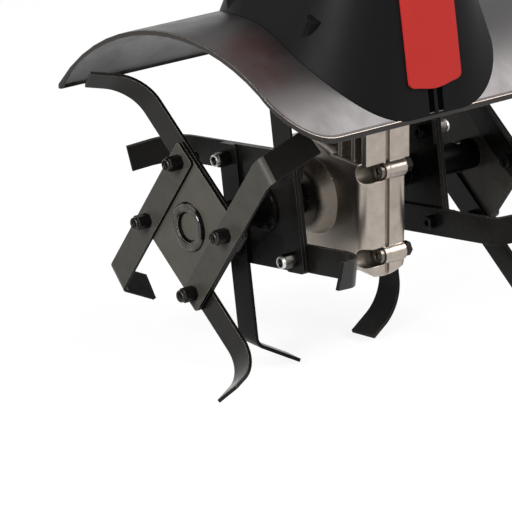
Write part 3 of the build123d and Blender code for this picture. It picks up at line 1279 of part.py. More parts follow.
with BuildPart() as lock_button:
    with BuildSketch(bar_plane(-BUTTON_DOWN, BOX_ABOVE + BUTTON_PROUD)):
        Circle(BUTTON_D / 2)
    extrude(amount=-(BUTTON_PROUD + BOX_WALL + BUTTON_STEM))
    fillet(lock_button.edges().sort_by(handle_axis)[-1], BUTTON_ROUND)
    with BuildSketch(bar_plane(-BUTTON_DOWN, BOX_ABOVE - BOX_WALL - FREE_GAP)):
        Circle(BUTTON_D / 2 + BUTTON_FLANGE)
    extrude(amount=-BUTTON_FLANGE)
keep(lock_button, "lock_button")

with BuildPart() as switch_block:
    with BuildSketch(bar_plane(-LEVER_PIVOT_DOWN, BOX_ABOVE - BOX_WALL)):
        with Locations((BOX_HALF_Y / 2, 0)):
            Rectangle(BLOCK_SIDE, BLOCK_SIDE)
    extrude(amount=-(BOX_ABOVE - BOX_WALL + LEVER_PIVOT_BELOW - CAM_REACH - CAM_GAP))
keep(switch_block, "switch_block")

with BuildPart() as power_inlet:
    with BuildSketch(bar_plane(-INLET_DOWN, -BOX_BELOW)):
        Circle(INLET_D / 2)
    extrude(amount=-INLET_LENGTH)
    with BuildSketch(bar_plane(-INLET_DOWN, -BOX_BELOW - INLET_WALL)):
        Circle(INLET_D / 2 - INLET_WALL)
    extrude(amount=-INLET_LENGTH, mode=Mode.SUBTRACT)
keep(power_inlet, "power_inlet")

# The finished pieces are set down on the ground, centred under the whole machine
boxes = [piece.bounding_box() for piece in pieces.values()]
ground_z = min(box.min.Z for box in boxes)
middle_x = (min(box.min.X for box in boxes) + max(box.max.X for box in boxes)) / 2
SHIFT = Vector(-middle_x, 0, -ground_z)
os.makedirs("parts", exist_ok=True)
for name, piece in pieces.items():
    placed = piece.moved(Location(SHIFT))
    placed.label = name
    export_step(placed, f"parts/{name}.step")
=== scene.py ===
# %% [markdown]
# # An electric garden tiller
# The solids of the machine come in as a fixed frame: every piece already stands in its place, in metres,
# with X forward, Y to the machine's left and Z up. This lesson gives each piece its finish, rounds over the
# hard edges of the stamped, cast and moulded pieces, models the small ones that a solid only hints at, and
# sets the camera, the floor and the light.

import json
from math import acos, cos, pi, radians, sin

import bmesh
import bpy
from mathutils import Matrix, Vector


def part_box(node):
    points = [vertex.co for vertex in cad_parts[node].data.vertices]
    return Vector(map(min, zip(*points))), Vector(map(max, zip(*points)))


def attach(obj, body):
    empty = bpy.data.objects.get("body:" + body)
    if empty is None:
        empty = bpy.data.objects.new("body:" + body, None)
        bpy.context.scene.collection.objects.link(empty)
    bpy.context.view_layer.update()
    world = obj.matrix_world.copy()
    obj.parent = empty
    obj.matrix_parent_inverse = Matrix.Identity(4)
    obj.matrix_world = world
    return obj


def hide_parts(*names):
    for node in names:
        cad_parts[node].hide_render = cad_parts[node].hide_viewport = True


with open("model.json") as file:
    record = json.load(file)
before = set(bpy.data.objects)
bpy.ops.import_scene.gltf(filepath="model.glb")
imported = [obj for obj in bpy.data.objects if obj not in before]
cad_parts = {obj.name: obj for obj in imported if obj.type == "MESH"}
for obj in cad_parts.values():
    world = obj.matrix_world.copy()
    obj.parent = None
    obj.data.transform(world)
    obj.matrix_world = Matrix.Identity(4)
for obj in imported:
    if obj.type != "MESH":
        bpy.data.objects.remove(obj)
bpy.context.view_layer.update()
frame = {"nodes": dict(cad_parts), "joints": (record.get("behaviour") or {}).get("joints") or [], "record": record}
nodes = frame["nodes"]
joints = {joint["name"]: joint for joint in frame["joints"]}
body_of = {node: body for body, members in frame["record"]["behaviour"]["bodies"].items() for node in members}
axle = Vector(joints["tine_spin"]["pos_m"])
print("nodes", len(nodes), "axle", tuple(axle))

# %% [markdown]
# The photograph was taken with a long lens, from ahead and to the machine's right, a little above it.
# A camera could be placed by eye, but its place was worked out from points on the photograph, so the
# azimuth, the elevation and the focal length are plain numbers, and the axle lands on its own pixel.

# %% Camera
VIEW_AZIMUTH = radians(51.65)
VIEW_ELEVATION = radians(19.36)
VIEW_DISTANCE = 4.164
FOCAL_PIXELS = 4323.9
IMAGE_SIDE = 512
SENSOR_WIDTH = 36.0
AXLE_PIXEL = (335.3, 188.5)

back = Vector((
    sin(VIEW_AZIMUTH) * cos(VIEW_ELEVATION),
    -cos(VIEW_AZIMUTH) * cos(VIEW_ELEVATION),
    sin(VIEW_ELEVATION),
))
sideways = Vector((cos(VIEW_AZIMUTH), sin(VIEW_AZIMUTH), 0))
upward = back.cross(sideways)
pixel_size = VIEW_DISTANCE / FOCAL_PIXELS
aim = axle - sideways * (AXLE_PIXEL[0] - IMAGE_SIDE / 2) * pixel_size
aim -= upward * (IMAGE_SIDE / 2 - AXLE_PIXEL[1]) * pixel_size
stand = axle + back * VIEW_DISTANCE
camera_back = (stand - aim).normalized()
camera_right = (sideways - camera_back * sideways.dot(camera_back)).normalized()
lens = bpy.data.cameras.new("long_lens")
lens.sensor_width = SENSOR_WIDTH
lens.lens = FOCAL_PIXELS * SENSOR_WIDTH / IMAGE_SIDE
camera = bpy.data.objects.new("camera", lens)
turn = Matrix((camera_right, camera_back.cross(camera_right), camera_back)).transposed().to_4x4()
camera.matrix_world = Matrix.Translation(stand) @ turn
bpy.context.scene.collection.objects.link(camera)
bpy.context.scene.camera = camera
print("lens", round(lens.lens, 1), "mm, aim", tuple(round(x, 3) for x in aim))

# %% [markdown]
# Every finish is a small tree of shader nodes. One function adds a node with its settings and links, and
# another turns the sRGB colours that people write into the linear ones that a renderer counts with.

# %% Node and colour helpers
def linear(hex_code):
    """Linear RGBA of an sRGB hex colour."""
    channels = [int(hex_code[start:start + 2], 16) / 255 for start in (1, 3, 5)]
    return [c / 12.92 if c <= 0.04045 else ((c + 0.055) / 1.055) ** 2.4 for c in channels] + [1.0]


def per_metre(millimetres):
    """Scale of a pattern whose parts are that many millimetres wide."""
    return 1000 / millimetres


def add_node(tree, kind, inputs=(), **settings):
    """Adds a node, sets its options, and links or sets its inputs."""
    made = tree.nodes.new(kind)
    for name, value in settings.items():
        setattr(made, name, value)
    for socket, value in dict(inputs).items():
        if isinstance(value, bpy.types.NodeSocket):
            tree.links.new(value, made.inputs[socket])
        else:
            made.inputs[socket].default_value = value
    return made


def start_material(name):
    """An empty material with its node tree."""
    made = bpy.data.materials.new(name)
    made.use_nodes = True
    made.node_tree.nodes.clear()
    return made, made.node_tree


FACTOR, FIRST, SECOND, MIXED = 0, 6, 7, 2
print("middle grey is", round(linear("#808080")[0], 3), "in linear light")

# %% [markdown]
# The floor is plain and pale, like a paper roll in a studio. It takes the machine's soft shadow as any
# matt surface does, and a little glow that only the camera and mirror rays see lifts the paper to white.

# %% Floor and world
FLOOR_HALF = 40.0
FLOOR_COLOUR = "#787878"
FLOOR_GLOW = 0.87
WORLD_LIGHT = 0.10
WHITE = 1.0


def seen_directly(tree):
    """1 for a ray from the camera, off a mirror or through glass, and 0 for light that falls on something."""
    path = add_node(tree, "ShaderNodeLightPath")
    either = add_node(tree, "ShaderNodeMath", {
        0: path.outputs["Is Camera Ray"], 1: path.outputs["Is Glossy Ray"],
    }, operation="MAXIMUM")
    any_of_them = add_node(tree, "ShaderNodeMath", {
        0: either.outputs[0], 1: path.outputs["Is Transmission Ray"],
    }, operation="MAXIMUM")
    return any_of_them.outputs[0]


floor_shape = bmesh.new()
bmesh.ops.create_grid(floor_shape, x_segments=1, y_segments=1, size=FLOOR_HALF)
floor_mesh = bpy.data.meshes.new("studio_floor")
floor_shape.to_mesh(floor_mesh)
floor_shape.free()
floor = bpy.data.objects.new("studio_floor", floor_mesh)
bpy.context.scene.collection.objects.link(floor)

paper, tree = start_material("paper_roll")
glow = add_node(tree, "ShaderNodeMath", {0: seen_directly(tree), 1: FLOOR_GLOW}, operation="MULTIPLY")
matt = add_node(tree, "ShaderNodeBsdfPrincipled", {
    "Base Color": linear(FLOOR_COLOUR),
    "Roughness": 1.0,
    "Specular IOR Level": 0.0,
    "Emission Color": linear("#FFFFFF"),
    "Emission Strength": glow.outputs[0],
})
add_node(tree, "ShaderNodeOutputMaterial", {"Surface": matt.outputs[0]})
floor_mesh.materials.append(paper)

world = bpy.data.worlds.new("studio_world")
bpy.context.scene.world = world
world.use_nodes = True
tree = world.node_tree
tree.nodes.clear()
level = add_node(tree, "ShaderNodeMapRange", {
    "Value": seen_directly(tree), "To Min": WORLD_LIGHT, "To Max": WHITE,
})
sky = add_node(tree, "ShaderNodeBackground", {"Color": linear("#FFFFFF"), "Strength": level.outputs[0]})
add_node(tree, "ShaderNodeOutputWorld", {"Surface": sky.outputs[0]})
bpy.context.scene.view_settings.view_transform = "Standard"
print("floor", FLOOR_HALF * 2, "m across")

# %% [markdown]
# Three softboxes light the machine: a key at its right side, which models the rotors and leaves the parts
# behind them dark, a weak fill ahead, and a box high on the left that the front of the hood mirrors, which
# is the grey sheen along its rim. An even light from all round would turn black paint into flat grey.

# %% Softboxes
def softbox(name, place, target, size, power, tint="#FFFFFF"):
    """A rectangular lamp at a place, turned to a target."""
    lamp = bpy.data.lights.new(name, "AREA")
    lamp.shape = "RECTANGLE"
    lamp.size, lamp.size_y = size
    lamp.energy = power
    lamp.color = linear(tint)[:3]
    made = bpy.data.objects.new(name, lamp)
    made.location = place
    made.rotation_mode = "QUATERNION"
    made.rotation_quaternion = (Vector(target) - Vector(place)).to_track_quat("-Z", "Y")
    made.visible_camera = False
    bpy.context.scene.collection.objects.link(made)
    return made


softbox("key_box", axle + Vector((0.75, -2.55, 1.4)), axle, (1.2, 1.2), 95)
softbox("front_box", axle + Vector((2.4, -1.2, 2.0)), axle, (1.8, 1.8), 8)
softbox("sheen_box", axle + Vector((1.55, 1.8, 1.95)), axle, (2.0, 1.6), 84, "#FFF8F7")
print("softboxes", [lamp.name for lamp in bpy.data.lights])

# %% [markdown]
# The tines and rotor plates are hot-rolled strip, stamped, bent and dipped in black stove enamel. The eye
# sees a deep warm black, a broad sheen that is never quite even, fine scuffs, and thin pale lines along the
# cut edges, partly worn paint and partly a painted highlight. Past their bend the bent-in blades are painted
# near black, a painted shade. The same paint, smoother or duller, covers the hood, the tubes and the screws,
# so one function makes them all from a few numbers: its sheen, the width of its orange peel, patches and bare
# edges, and how worn it is.

# %% Black paint
NOISE_LOW, NOISE_HIGH = 0.3, 0.7
TINT_SWING = 0.3
SPECK_TO_PEEL = 1.5
SCUFF_FROM, SCUFF_FULL, SCUFF_SHARE = 0.62, 0.76, 0.10
EDGE_FROM, EDGE_FULL = 0.97, 0.80
SHEEN_LESS, SHEEN_MORE = 0.06, 0.08
PEEL_RISE = 0.0006
# Near black of the bent-in blades' tips, a painted shade.
TIP_SHADE_BLACK = "#121110"


def stove_paint(name, colour, worn, roughness, gloss, peel_mm, patch_mm, edge_mm, wear,
                streak=(1, 1, 1), depth=0.12, tip_shade_span=None):
    """Black paint on steel: uneven sheen, scuffs, orange peel, and edges where it has drawn back.
    Between the two distances given for the tip, counted from the machine's middle, it turns near black, a painted
    shade on the tip."""
    made, tree = start_material(name)
    place = add_node(tree, "ShaderNodeTexCoord")
    patches = add_node(tree, "ShaderNodeTexNoise", {
        "Vector": place.outputs["Object"], "Scale": per_metre(patch_mm), "Detail": 5.0, "Roughness": 0.6,
    })
    drawn = add_node(tree, "ShaderNodeMapping", {"Vector": place.outputs["Object"], "Scale": streak})
    peel = add_node(tree, "ShaderNodeTexNoise", {
        "Vector": drawn.outputs[0], "Scale": per_metre(peel_mm), "Detail": 2.0,
    })
    specks = add_node(tree, "ShaderNodeTexNoise", {
        "Vector": place.outputs["Object"], "Scale": per_metre(peel_mm * SPECK_TO_PEEL),
        "Detail": 6.0, "Roughness": 0.75,
    })
    scuffs = add_node(tree, "ShaderNodeMapRange", {
        "Value": specks.outputs["Fac"], "From Min": SCUFF_FROM, "From Max": SCUFF_FULL,
        "To Min": 0.0, "To Max": SCUFF_SHARE,
    })
    soft_edge = add_node(tree, "ShaderNodeBevel", {"Radius": edge_mm / 1000}, samples=4)
    flat = add_node(tree, "ShaderNodeNewGeometry")
    match = add_node(tree, "ShaderNodeVectorMath", {0: soft_edge.outputs[0], 1: flat.outputs["True Normal"]},
                     operation="DOT_PRODUCT")
    edge = add_node(tree, "ShaderNodeMapRange", {
        "Value": match.outputs["Value"], "From Min": EDGE_FROM, "From Max": EDGE_FULL,
        "To Min": 0.0, "To Max": wear,
    })
    rubbed = add_node(tree, "ShaderNodeMath", {0: edge.outputs[0], 1: patches.outputs["Fac"]},
                      operation="MULTIPLY")
    bare = add_node(tree, "ShaderNodeMath", {0: rubbed.outputs[0], 1: scuffs.outputs[0]}, operation="ADD")
    tint = add_node(tree, "ShaderNodeMix", {
        FACTOR: patches.outputs["Fac"],
        FIRST: [c * (1 - TINT_SWING) for c in linear(colour)[:3]] + [1.0],
        SECOND: [c * (1 + TINT_SWING) for c in linear(colour)[:3]] + [1.0],
    }, data_type="RGBA")
    if tip_shade_span:
        apart = add_node(tree, "ShaderNodeSeparateXYZ", {0: place.outputs["Object"]})
        out = add_node(tree, "ShaderNodeMath", {0: apart.outputs["Y"]}, operation="ABSOLUTE")
        tip_shade_mix = add_node(tree, "ShaderNodeMapRange", {
            "Value": out.outputs[0], "From Min": tip_shade_span[0], "From Max": tip_shade_span[1],
        })
        tint = add_node(tree, "ShaderNodeMix", {
            FACTOR: tip_shade_mix.outputs[0], FIRST: tint.outputs[MIXED], SECOND: linear(TIP_SHADE_BLACK),
        }, data_type="RGBA")
    shown = add_node(tree, "ShaderNodeMix", {
        FACTOR: bare.outputs[0], FIRST: tint.outputs[MIXED], SECOND: linear(worn),
    }, data_type="RGBA")
    sheen = add_node(tree, "ShaderNodeMapRange", {
        "Value": patches.outputs["Fac"], "From Min": NOISE_LOW, "From Max": NOISE_HIGH,
        "To Min": roughness - SHEEN_LESS, "To Max": roughness + SHEEN_MORE,
    })
    bump = add_node(tree, "ShaderNodeBump", {
        "Strength": depth, "Distance": PEEL_RISE, "Height": peel.outputs["Fac"],
        "Normal": soft_edge.outputs[0],
    })
    skin = add_node(tree, "ShaderNodeBsdfPrincipled", {
        "Base Color": shown.outputs[MIXED], "Roughness": sheen.outputs[0], "Specular IOR Level": gloss,
        "Normal": bump.outputs[0],
    })
    add_node(tree, "ShaderNodeOutputMaterial", {"Surface": skin.outputs[0]})
    return made


# %% [markdown]
# Each kind of piece gets its own mix of that paint. The plates and the bent-in blades are painted greyer than
# the other strips, a painted sheen, and those blades turn black towards their tips, a painted shade. The inner
# rotors get a darker mix, a painted shade. The hood has marks drawn out round its arch,
# and the tubes have a plain powder coat. Ten separate materials would repeat the same nodes, so only the
# numbers differ: roughness, gloss, peel, patch and edge widths in millimetres, and wear.

# %% Paint for each kind of piece
# Pale colour of the strips' edges: partly worn paint, partly a painted highlight.
STRIP_WEAR_AND_HIGHLIGHT = "#B5AFA5"
# Distances from the middle over which the bent-in blades fade to their painted tip shade.
TIP_SHADE_FADE = (0.172, 0.152)
tine_paint = stove_paint("stove_enamel_on_outer_strip", "#201F1D", STRIP_WEAR_AND_HIGHLIGHT, 0.24, 0.09, 3.0, 18.0,
                         0.9, 1.1)
# Painted shade: the inner rotors get a darker copy of the enamel.
inner_shade_paint = stove_paint("stove_enamel_with_painted_shade_on_inner_strip", "#1A1918", "#A39D93", 0.27, 0.06, 3.0, 18.0,
                          0.8, 0.8)
# Painted sheen: the plates and the bent-in blades get greyer copies of the enamel.
plate_sheen_paint = stove_paint("stove_enamel_with_painted_sheen_on_plate", "#4C4A43", STRIP_WEAR_AND_HIGHLIGHT, 0.30, 0.10, 3.0, 24.0, 0.9, 0.9)
face_sheen_paint = stove_paint("stove_enamel_with_painted_sheen_on_face_strip", "#42403B", STRIP_WEAR_AND_HIGHLIGHT, 0.28, 0.09, 3.0, 20.0, 0.9, 1.1,
                         tip_shade_span=TIP_SHADE_FADE)
# Painted shade: near-black paint for the tips of the bent-in blades.
tip_shade_paint = stove_paint("painted_shade_on_tip", "#131211", "#6A655D", 0.46, 0.025, 2.0, 9.0, 0.7, 0.8)
# Painted shade: near-black paint for the edge faces of the outer strips.
edge_shade_paint = stove_paint("painted_shade_on_sheared_edge", "#0F0E0D", STRIP_WEAR_AND_HIGHLIGHT, 0.36, 0.03, 2.0, 9.0, 0.9, 1.2)
hood_paint = stove_paint("satin_enamel_on_hood", "#161414", "#66625E", 0.38, 0.80, 1.4, 30.0, 0.8, 0.5,
                         streak=(0.06, 1, 0.06))
rim_paint = stove_paint("satin_enamel_on_rim", "#2A2623", "#8A847B", 0.24, 0.30, 2.4, 12.0, 0.6, 0.3)
tube_paint = stove_paint("powder_coat_on_tube", "#161617", "#3A3A3A", 0.42, 0.3, 2.2, 40.0, 0.6, 0.3,
                         depth=0.02)
screw_black = stove_paint("black_oxide_on_screws", "#100F0F", "#A09A92", 0.30, 0.07, 2.0, 8.0, 0.5, 0.9)
print("strip paints", [m.name for m in (tine_paint, inner_shade_paint, plate_sheen_paint, face_sheen_paint)])
print("scale on strip", [m.name for m in (tip_shade_paint, edge_shade_paint)])
print("other paints", [m.name for m in (hood_paint, rim_paint, tube_paint, screw_black)])

# %% [markdown]
# The gearbox is cast aluminium, shot-blasted and left bare. It is a warm grey metal that still mirrors what
# is near it, so the tines show as dark patches on its side. Close up it has a fine grain, faint cloudy
# stains and paler edges.

# %% Cast aluminium
GRAIN_MM = 1.6
STAIN_MM = 16.0
CAST_EDGE = 0.0016
CAST_DULL, CAST_RUBBED = 0.36, 0.27
GRAIN_DEPTH = 0.08
GRAIN_RISE = 0.0006
cast_metal, tree = start_material("blasted_cast_aluminium")
place = add_node(tree, "ShaderNodeTexCoord")
grain = add_node(tree, "ShaderNodeTexNoise", {
    "Vector": place.outputs["Object"], "Scale": per_metre(GRAIN_MM), "Detail": 5.0, "Roughness": 0.6,
})
stains = add_node(tree, "ShaderNodeTexNoise", {
    "Vector": place.outputs["Object"], "Scale": per_metre(STAIN_MM), "Detail": 6.0, "Roughness": 0.65,
})
spread = add_node(tree, "ShaderNodeMapRange", {
    "Value": stains.outputs["Fac"], "From Min": NOISE_LOW, "From Max": NOISE_HIGH,
})
metal_colour = add_node(tree, "ShaderNodeMix", {
    FACTOR: spread.outputs[0], FIRST: linear("#9A9087"), SECOND: linear("#AFA69C"),
}, data_type="RGBA")
soft_edge = add_node(tree, "ShaderNodeBevel", {"Radius": CAST_EDGE}, samples=6)
dull = add_node(tree, "ShaderNodeMapRange", {
    "Value": stains.outputs["Fac"], "From Min": NOISE_LOW, "From Max": NOISE_HIGH,
    "To Min": CAST_DULL, "To Max": CAST_RUBBED,
})
bump = add_node(tree, "ShaderNodeBump", {
    "Strength": GRAIN_DEPTH, "Distance": GRAIN_RISE, "Height": grain.outputs["Fac"],
    "Normal": soft_edge.outputs[0],
})
skin = add_node(tree, "ShaderNodeBsdfPrincipled", {
    "Base Color": metal_colour.outputs[MIXED], "Metallic": 1.0, "Roughness": dull.outputs[0],
    "Normal": bump.outputs[0],
})
add_node(tree, "ShaderNodeOutputMaterial", {"Surface": skin.outputs[0]})
print("casting", cast_metal.name)

# %% [markdown]
# Zinc-plated nuts, ground shafts, bronze and motor iron are all bright metals that differ in colour,
# polish and the direction of their tool marks, so one function makes them from a few numbers.

# %% Bright metals
METAL_EDGE = 0.0006
POLISH_LESS, POLISH_MORE = 0.05, 0.1
MARK_DEPTH = 0.08
MARK_RISE = 0.0003


def bright_metal(name, colour, dulled, roughness, mark_mm, stretch):
    """Bare or plated metal with tool marks drawn out along an axis."""
    made, tree = start_material(name)
    place = add_node(tree, "ShaderNodeTexCoord")
    drawn = add_node(tree, "ShaderNodeMapping", {"Vector": place.outputs["Object"], "Scale": stretch})
    marks = add_node(tree, "ShaderNodeTexNoise", {
        "Vector": drawn.outputs[0], "Scale": per_metre(mark_mm), "Detail": 4.0,
    })
    shade = add_node(tree, "ShaderNodeMix", {
        FACTOR: marks.outputs["Fac"], FIRST: linear(dulled), SECOND: linear(colour),
    }, data_type="RGBA")
    polish = add_node(tree, "ShaderNodeMapRange", {
        "Value": marks.outputs["Fac"], "From Min": NOISE_LOW, "From Max": NOISE_HIGH,
        "To Min": roughness - POLISH_LESS, "To Max": roughness + POLISH_MORE,
    })
    soft_edge = add_node(tree, "ShaderNodeBevel", {"Radius": METAL_EDGE}, samples=4)
    bump = add_node(tree, "ShaderNodeBump", {
        "Strength": MARK_DEPTH, "Distance": MARK_RISE, "Height": marks.outputs["Fac"],
        "Normal": soft_edge.outputs[0],
    })
    skin = add_node(tree, "ShaderNodeBsdfPrincipled", {
        "Base Color": shade.outputs[MIXED], "Metallic": 1.0, "Roughness": polish.outputs[0],
        "Normal": bump.outputs[0],
    })
    add_node(tree, "ShaderNodeOutputMaterial", {"Surface": skin.outputs[0]})
    return made


EVEN = (1.0, 1.0, 1.0)
ROUND_Y = (1.0, 0.1, 1.0)
LAYERED = (0.05, 0.05, 1.0)
zinc = bright_metal("bright_zinc_plate", "#D6D8D8", "#A9ABA9", 0.20, 3.0, EVEN)
# Painted shade and highlight: the zinc nut's hexagon is painted dark and its collar bright, and the black nut's
# collar lighter.
zinc_with_painted_shade = bright_metal("zinc_plate_with_painted_shade", "#55534F", "#2E2D2B", 0.32, 3.0, EVEN)
black_collar_highlight = bright_metal("black_oxide_with_painted_highlight", "#4C4844", "#1E1D1B", 0.30, 2.0, EVEN)
zinc_collar_highlight = bright_metal("zinc_collar_with_painted_highlight", "#E4E5E4", "#C4C6C4", 0.40, 3.0, EVEN)
plain_steel = bright_metal("oiled_steel_on_socket_screws", "#857F78", "#4E4A45", 0.30, 2.0, EVEN)
# Painted highlight: pale metal for the hood's lip.
rim_highlight_steel = bright_metal("painted_highlight_on_rim", "#A59E97", "#5F5953", 0.28, 6.0, EVEN)
# Painted shade: a darker copy of the casting's finish for its bosses, pockets and recesses.
casting_shade_finish = bright_metal("cast_aluminium_with_painted_shade", "#8A8278", "#5A544C", 0.46, 4.0, EVEN)
ground_steel = bright_metal("ground_steel", "#B9BABB", "#8C8D8F", 0.28, 2.0, ROUND_Y)
bronze = bright_metal("cut_bronze", "#C79A5B", "#9A7442", 0.34, 2.5, EVEN)
motor_iron = bright_metal("stacked_motor_iron", "#8A8B8F", "#55565A", 0.42, 1.2, LAYERED)
print("plated", [m.name for m in (zinc, zinc_with_painted_shade, zinc_collar_highlight, black_collar_highlight)])
print("bare", [m.name for m in (plain_steel, rim_highlight_steel, casting_shade_finish, ground_steel, bronze, motor_iron)])

# %% [markdown]
# The motor cover is moulded in red ABS and the housing in black polypropylene. Both have the fine even
# grain of a spark-eroded mould, too fine to show at this distance, so it is drawn a little coarser.

# %% Moulded plastics
CLOUD_MM = 60.0
SHINE_LESS, SHINE_MORE = 0.04, 0.05
MOULD_RISE = 0.0004


def moulded(name, colour, shade, roughness, gloss, grain_mm, grain_depth, edge_mm):
    """Moulded plastic: even colour, fine mould grain, softly rounded edges."""
    made, tree = start_material(name)
    place = add_node(tree, "ShaderNodeTexCoord")
    clouds = add_node(tree, "ShaderNodeTexNoise", {
        "Vector": place.outputs["Object"], "Scale": per_metre(CLOUD_MM), "Detail": 3.0,
    })
    grain = add_node(tree, "ShaderNodeTexNoise", {
        "Vector": place.outputs["Object"], "Scale": per_metre(grain_mm), "Detail": 2.0,
    })
    tint = add_node(tree, "ShaderNodeMix", {
        FACTOR: clouds.outputs["Fac"], FIRST: linear(shade), SECOND: linear(colour),
    }, data_type="RGBA")
    polish = add_node(tree, "ShaderNodeMapRange", {
        "Value": clouds.outputs["Fac"], "From Min": NOISE_LOW, "From Max": NOISE_HIGH,
        "To Min": roughness - SHINE_LESS, "To Max": roughness + SHINE_MORE,
    })
    soft_edge = add_node(tree, "ShaderNodeBevel", {"Radius": edge_mm / 1000}, samples=4)
    bump = add_node(tree, "ShaderNodeBump", {
        "Strength": grain_depth, "Distance": MOULD_RISE, "Height": grain.outputs["Fac"],
        "Normal": soft_edge.outputs[0],
    })
    skin = add_node(tree, "ShaderNodeBsdfPrincipled", {
        "Base Color": tint.outputs[MIXED], "Roughness": polish.outputs[0], "Specular IOR Level": gloss,
        "Normal": bump.outputs[0],
    })
    add_node(tree, "ShaderNodeOutputMaterial", {"Surface": skin.outputs[0]})
    return made


red_abs = moulded("red_abs", "#B9302B", "#B02A26", 0.36, 0.20, 1.6, 0.10, 1.2)
black_shell = moulded("black_polypropylene", "#101011", "#0C0C0D", 0.48, 0.08, 1.8, 0.16, 1.2)
black_nylon = moulded("black_glass_filled_nylon", "#131314", "#0D0D0E", 0.52, 0.2, 1.4, 0.20, 0.8)
rubber = moulded("matt_rubber", "#141414", "#0E0E0E", 0.78, 0.2, 1.2, 0.25, 0.6)
print("plastics", [m.name for m in (red_abs, black_shell, black_nylon, rubber)])

# %% [markdown]
# Each solid now takes the finish of the real piece. The list goes by piece, because two pieces from the
# same stock can differ: the inner rotors' nuts are zinc-plated and the outer ones black.

# %% Finishes by piece
finish_of = {
    "tine_bolts": screw_black, "outer_tine_nuts": screw_black, "inner_tine_nuts": zinc,
    "gearbox_screws": plain_steel, "gearbox_nuts": screw_black,
    "gearbox_right_half": cast_metal, "gearbox_left_half": cast_metal,
    "tine_hood": hood_paint, "motor_housing": black_shell, "motor_cover": red_abs,
    "lower_handle_tubes": tube_paint, "upper_handle": tube_paint, "switch_lever": tube_paint,
    "handle_grips": rubber, "shaft_seals": rubber,
    "right_clamp_knob": black_nylon, "left_clamp_knob": black_nylon, "fold_spacers": black_nylon,
    "switch_box_top": black_shell, "switch_box_base": black_shell, "power_inlet": black_nylon,
    "switch_block": black_nylon, "cooling_fan": black_nylon, "lock_button": red_abs,
    "shell_screws": screw_black, "socket_bolts": zinc, "fold_bolts": zinc, "motor_bolts": zinc,
    "worm_wheel": bronze, "stator": motor_iron, "armature": motor_iron, "motor_end_bracket": cast_metal,
}
for name, node in nodes.items():
    # Inner rotors take the darker paint (painted shade), plates and bent-in blades the greyer ones (painted
    # sheen).
    if "_inner_" in name and ("_blade_" in name or name.endswith("_plate")):
        finish_of[name] = inner_shade_paint
    elif "_inward_blade_" in name:
        finish_of[name] = face_sheen_paint
    elif "_blade_" in name:
        finish_of[name] = tine_paint
    elif name.endswith("_plate"):
        finish_of[name] = plate_sheen_paint
    node.data.materials.clear()
    node.data.materials.append(finish_of.setdefault(name, ground_steel))
print("finished", len(nodes), "nodes")

# %% [markdown]
# Solids come with knife-sharp edges, but a stamped strip has a rolled edge, and a casting or a moulding has
# a small radius everywhere. A bevel in the shader alone would fake that without changing the outline.
# Here a copy of the solid is welded together, its flat faces are joined up, and its hard edges are beveled,
# so the light catches real rounded edges, and the bends and arches are shaded smooth.

# %% Rounded-over copies
TOUCHING = 0.00002
FLAT_ANGLE = 0.4
HARD_ANGLE = 32
SOFT_CREASE = 50


def add_piece(name, shape, finish, body, stands_for=()):
    """Turns a bmesh into a piece that rides on a body, in place of the solids that it stands for."""
    mesh = bpy.data.meshes.new(name)
    shape.to_mesh(mesh)
    shape.free()
    mesh.materials.append(finish)
    made = bpy.data.objects.new(name, mesh)
    bpy.context.scene.collection.objects.link(made)
    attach(made, body)
    if stands_for:
        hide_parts(*stands_for)
    return made


def shade_smooth(shape, crease):
    """Smooth faces all over, with a sharp line only where two of them meet at more than the crease angle."""
    for face in shape.faces:
        face.smooth = True
    for edge in shape.edges:
        edge.smooth = edge.calc_face_angle(0) < radians(crease)


def welded_copy(node):
    """A copy of a solid's mesh with its points joined and its flat faces made whole."""
    shape = bmesh.new()
    shape.from_mesh(nodes[node].data)
    bmesh.ops.remove_doubles(shape, verts=shape.verts, dist=TOUCHING)
    bmesh.ops.dissolve_limit(shape, angle_limit=radians(FLAT_ANGLE), verts=shape.verts, edges=shape.edges)
    return shape


def bevel_edges(shape, edges, width_mm, segments):
    """Rounds over some edges."""
    bmesh.ops.bevel(shape, geom=edges, offset=width_mm / 1000, offset_type="OFFSET", segments=segments,
                    profile=0.5, affect="EDGES", clamp_overlap=True, material=-1)


def even_shading(piece):
    """Lets the large faces decide how the rounded edges beside them are shaded."""
    piece.modifiers.new("even_shading", "WEIGHTED_NORMAL").keep_sharp = True


def round_over(node, width_mm, shape=None, crease=SOFT_CREASE):
    """A rounded-over copy of a solid, standing for it."""
    shape = shape or welded_copy(node)
    hard = [edge for edge in shape.edges if edge.calc_face_angle(0) > radians(HARD_ANGLE)]
    bevel_edges(shape, hard, width_mm, 2)
    shade_smooth(shape, crease)
    made = add_piece(f"rounded_{node}", shape, finish_of[node], body_of[node], (node,))
    even_shading(made)
    return made


print("edges over", HARD_ANGLE, "degrees are rounded")

# %% [markdown]
# Blades and plates are sheared from flat strip. The edge faces of the outer strips are painted blacker than
# their faces, a painted shade, with pale lines along them, partly worn paint and partly a painted highlight.
# On the rounded copies these faces are picked out by the way they point, and the painted shade of the tips by
# where they lie, so no picture has to be painted for them. The inner rotors are painted dark all over, a
# painted shade, and keep one finish. Half of the tight bends keep a sharp line in their shading.

# %% Strip pieces
STRIP_EDGE_MM = 0.5
TIGHT_CREASE = 14
TIP_SHADE_Y = 0.158
EDGE_ON = 0.2
TIP_SHADE_INDEX, EDGE_SHADE_INDEX = 1, 2

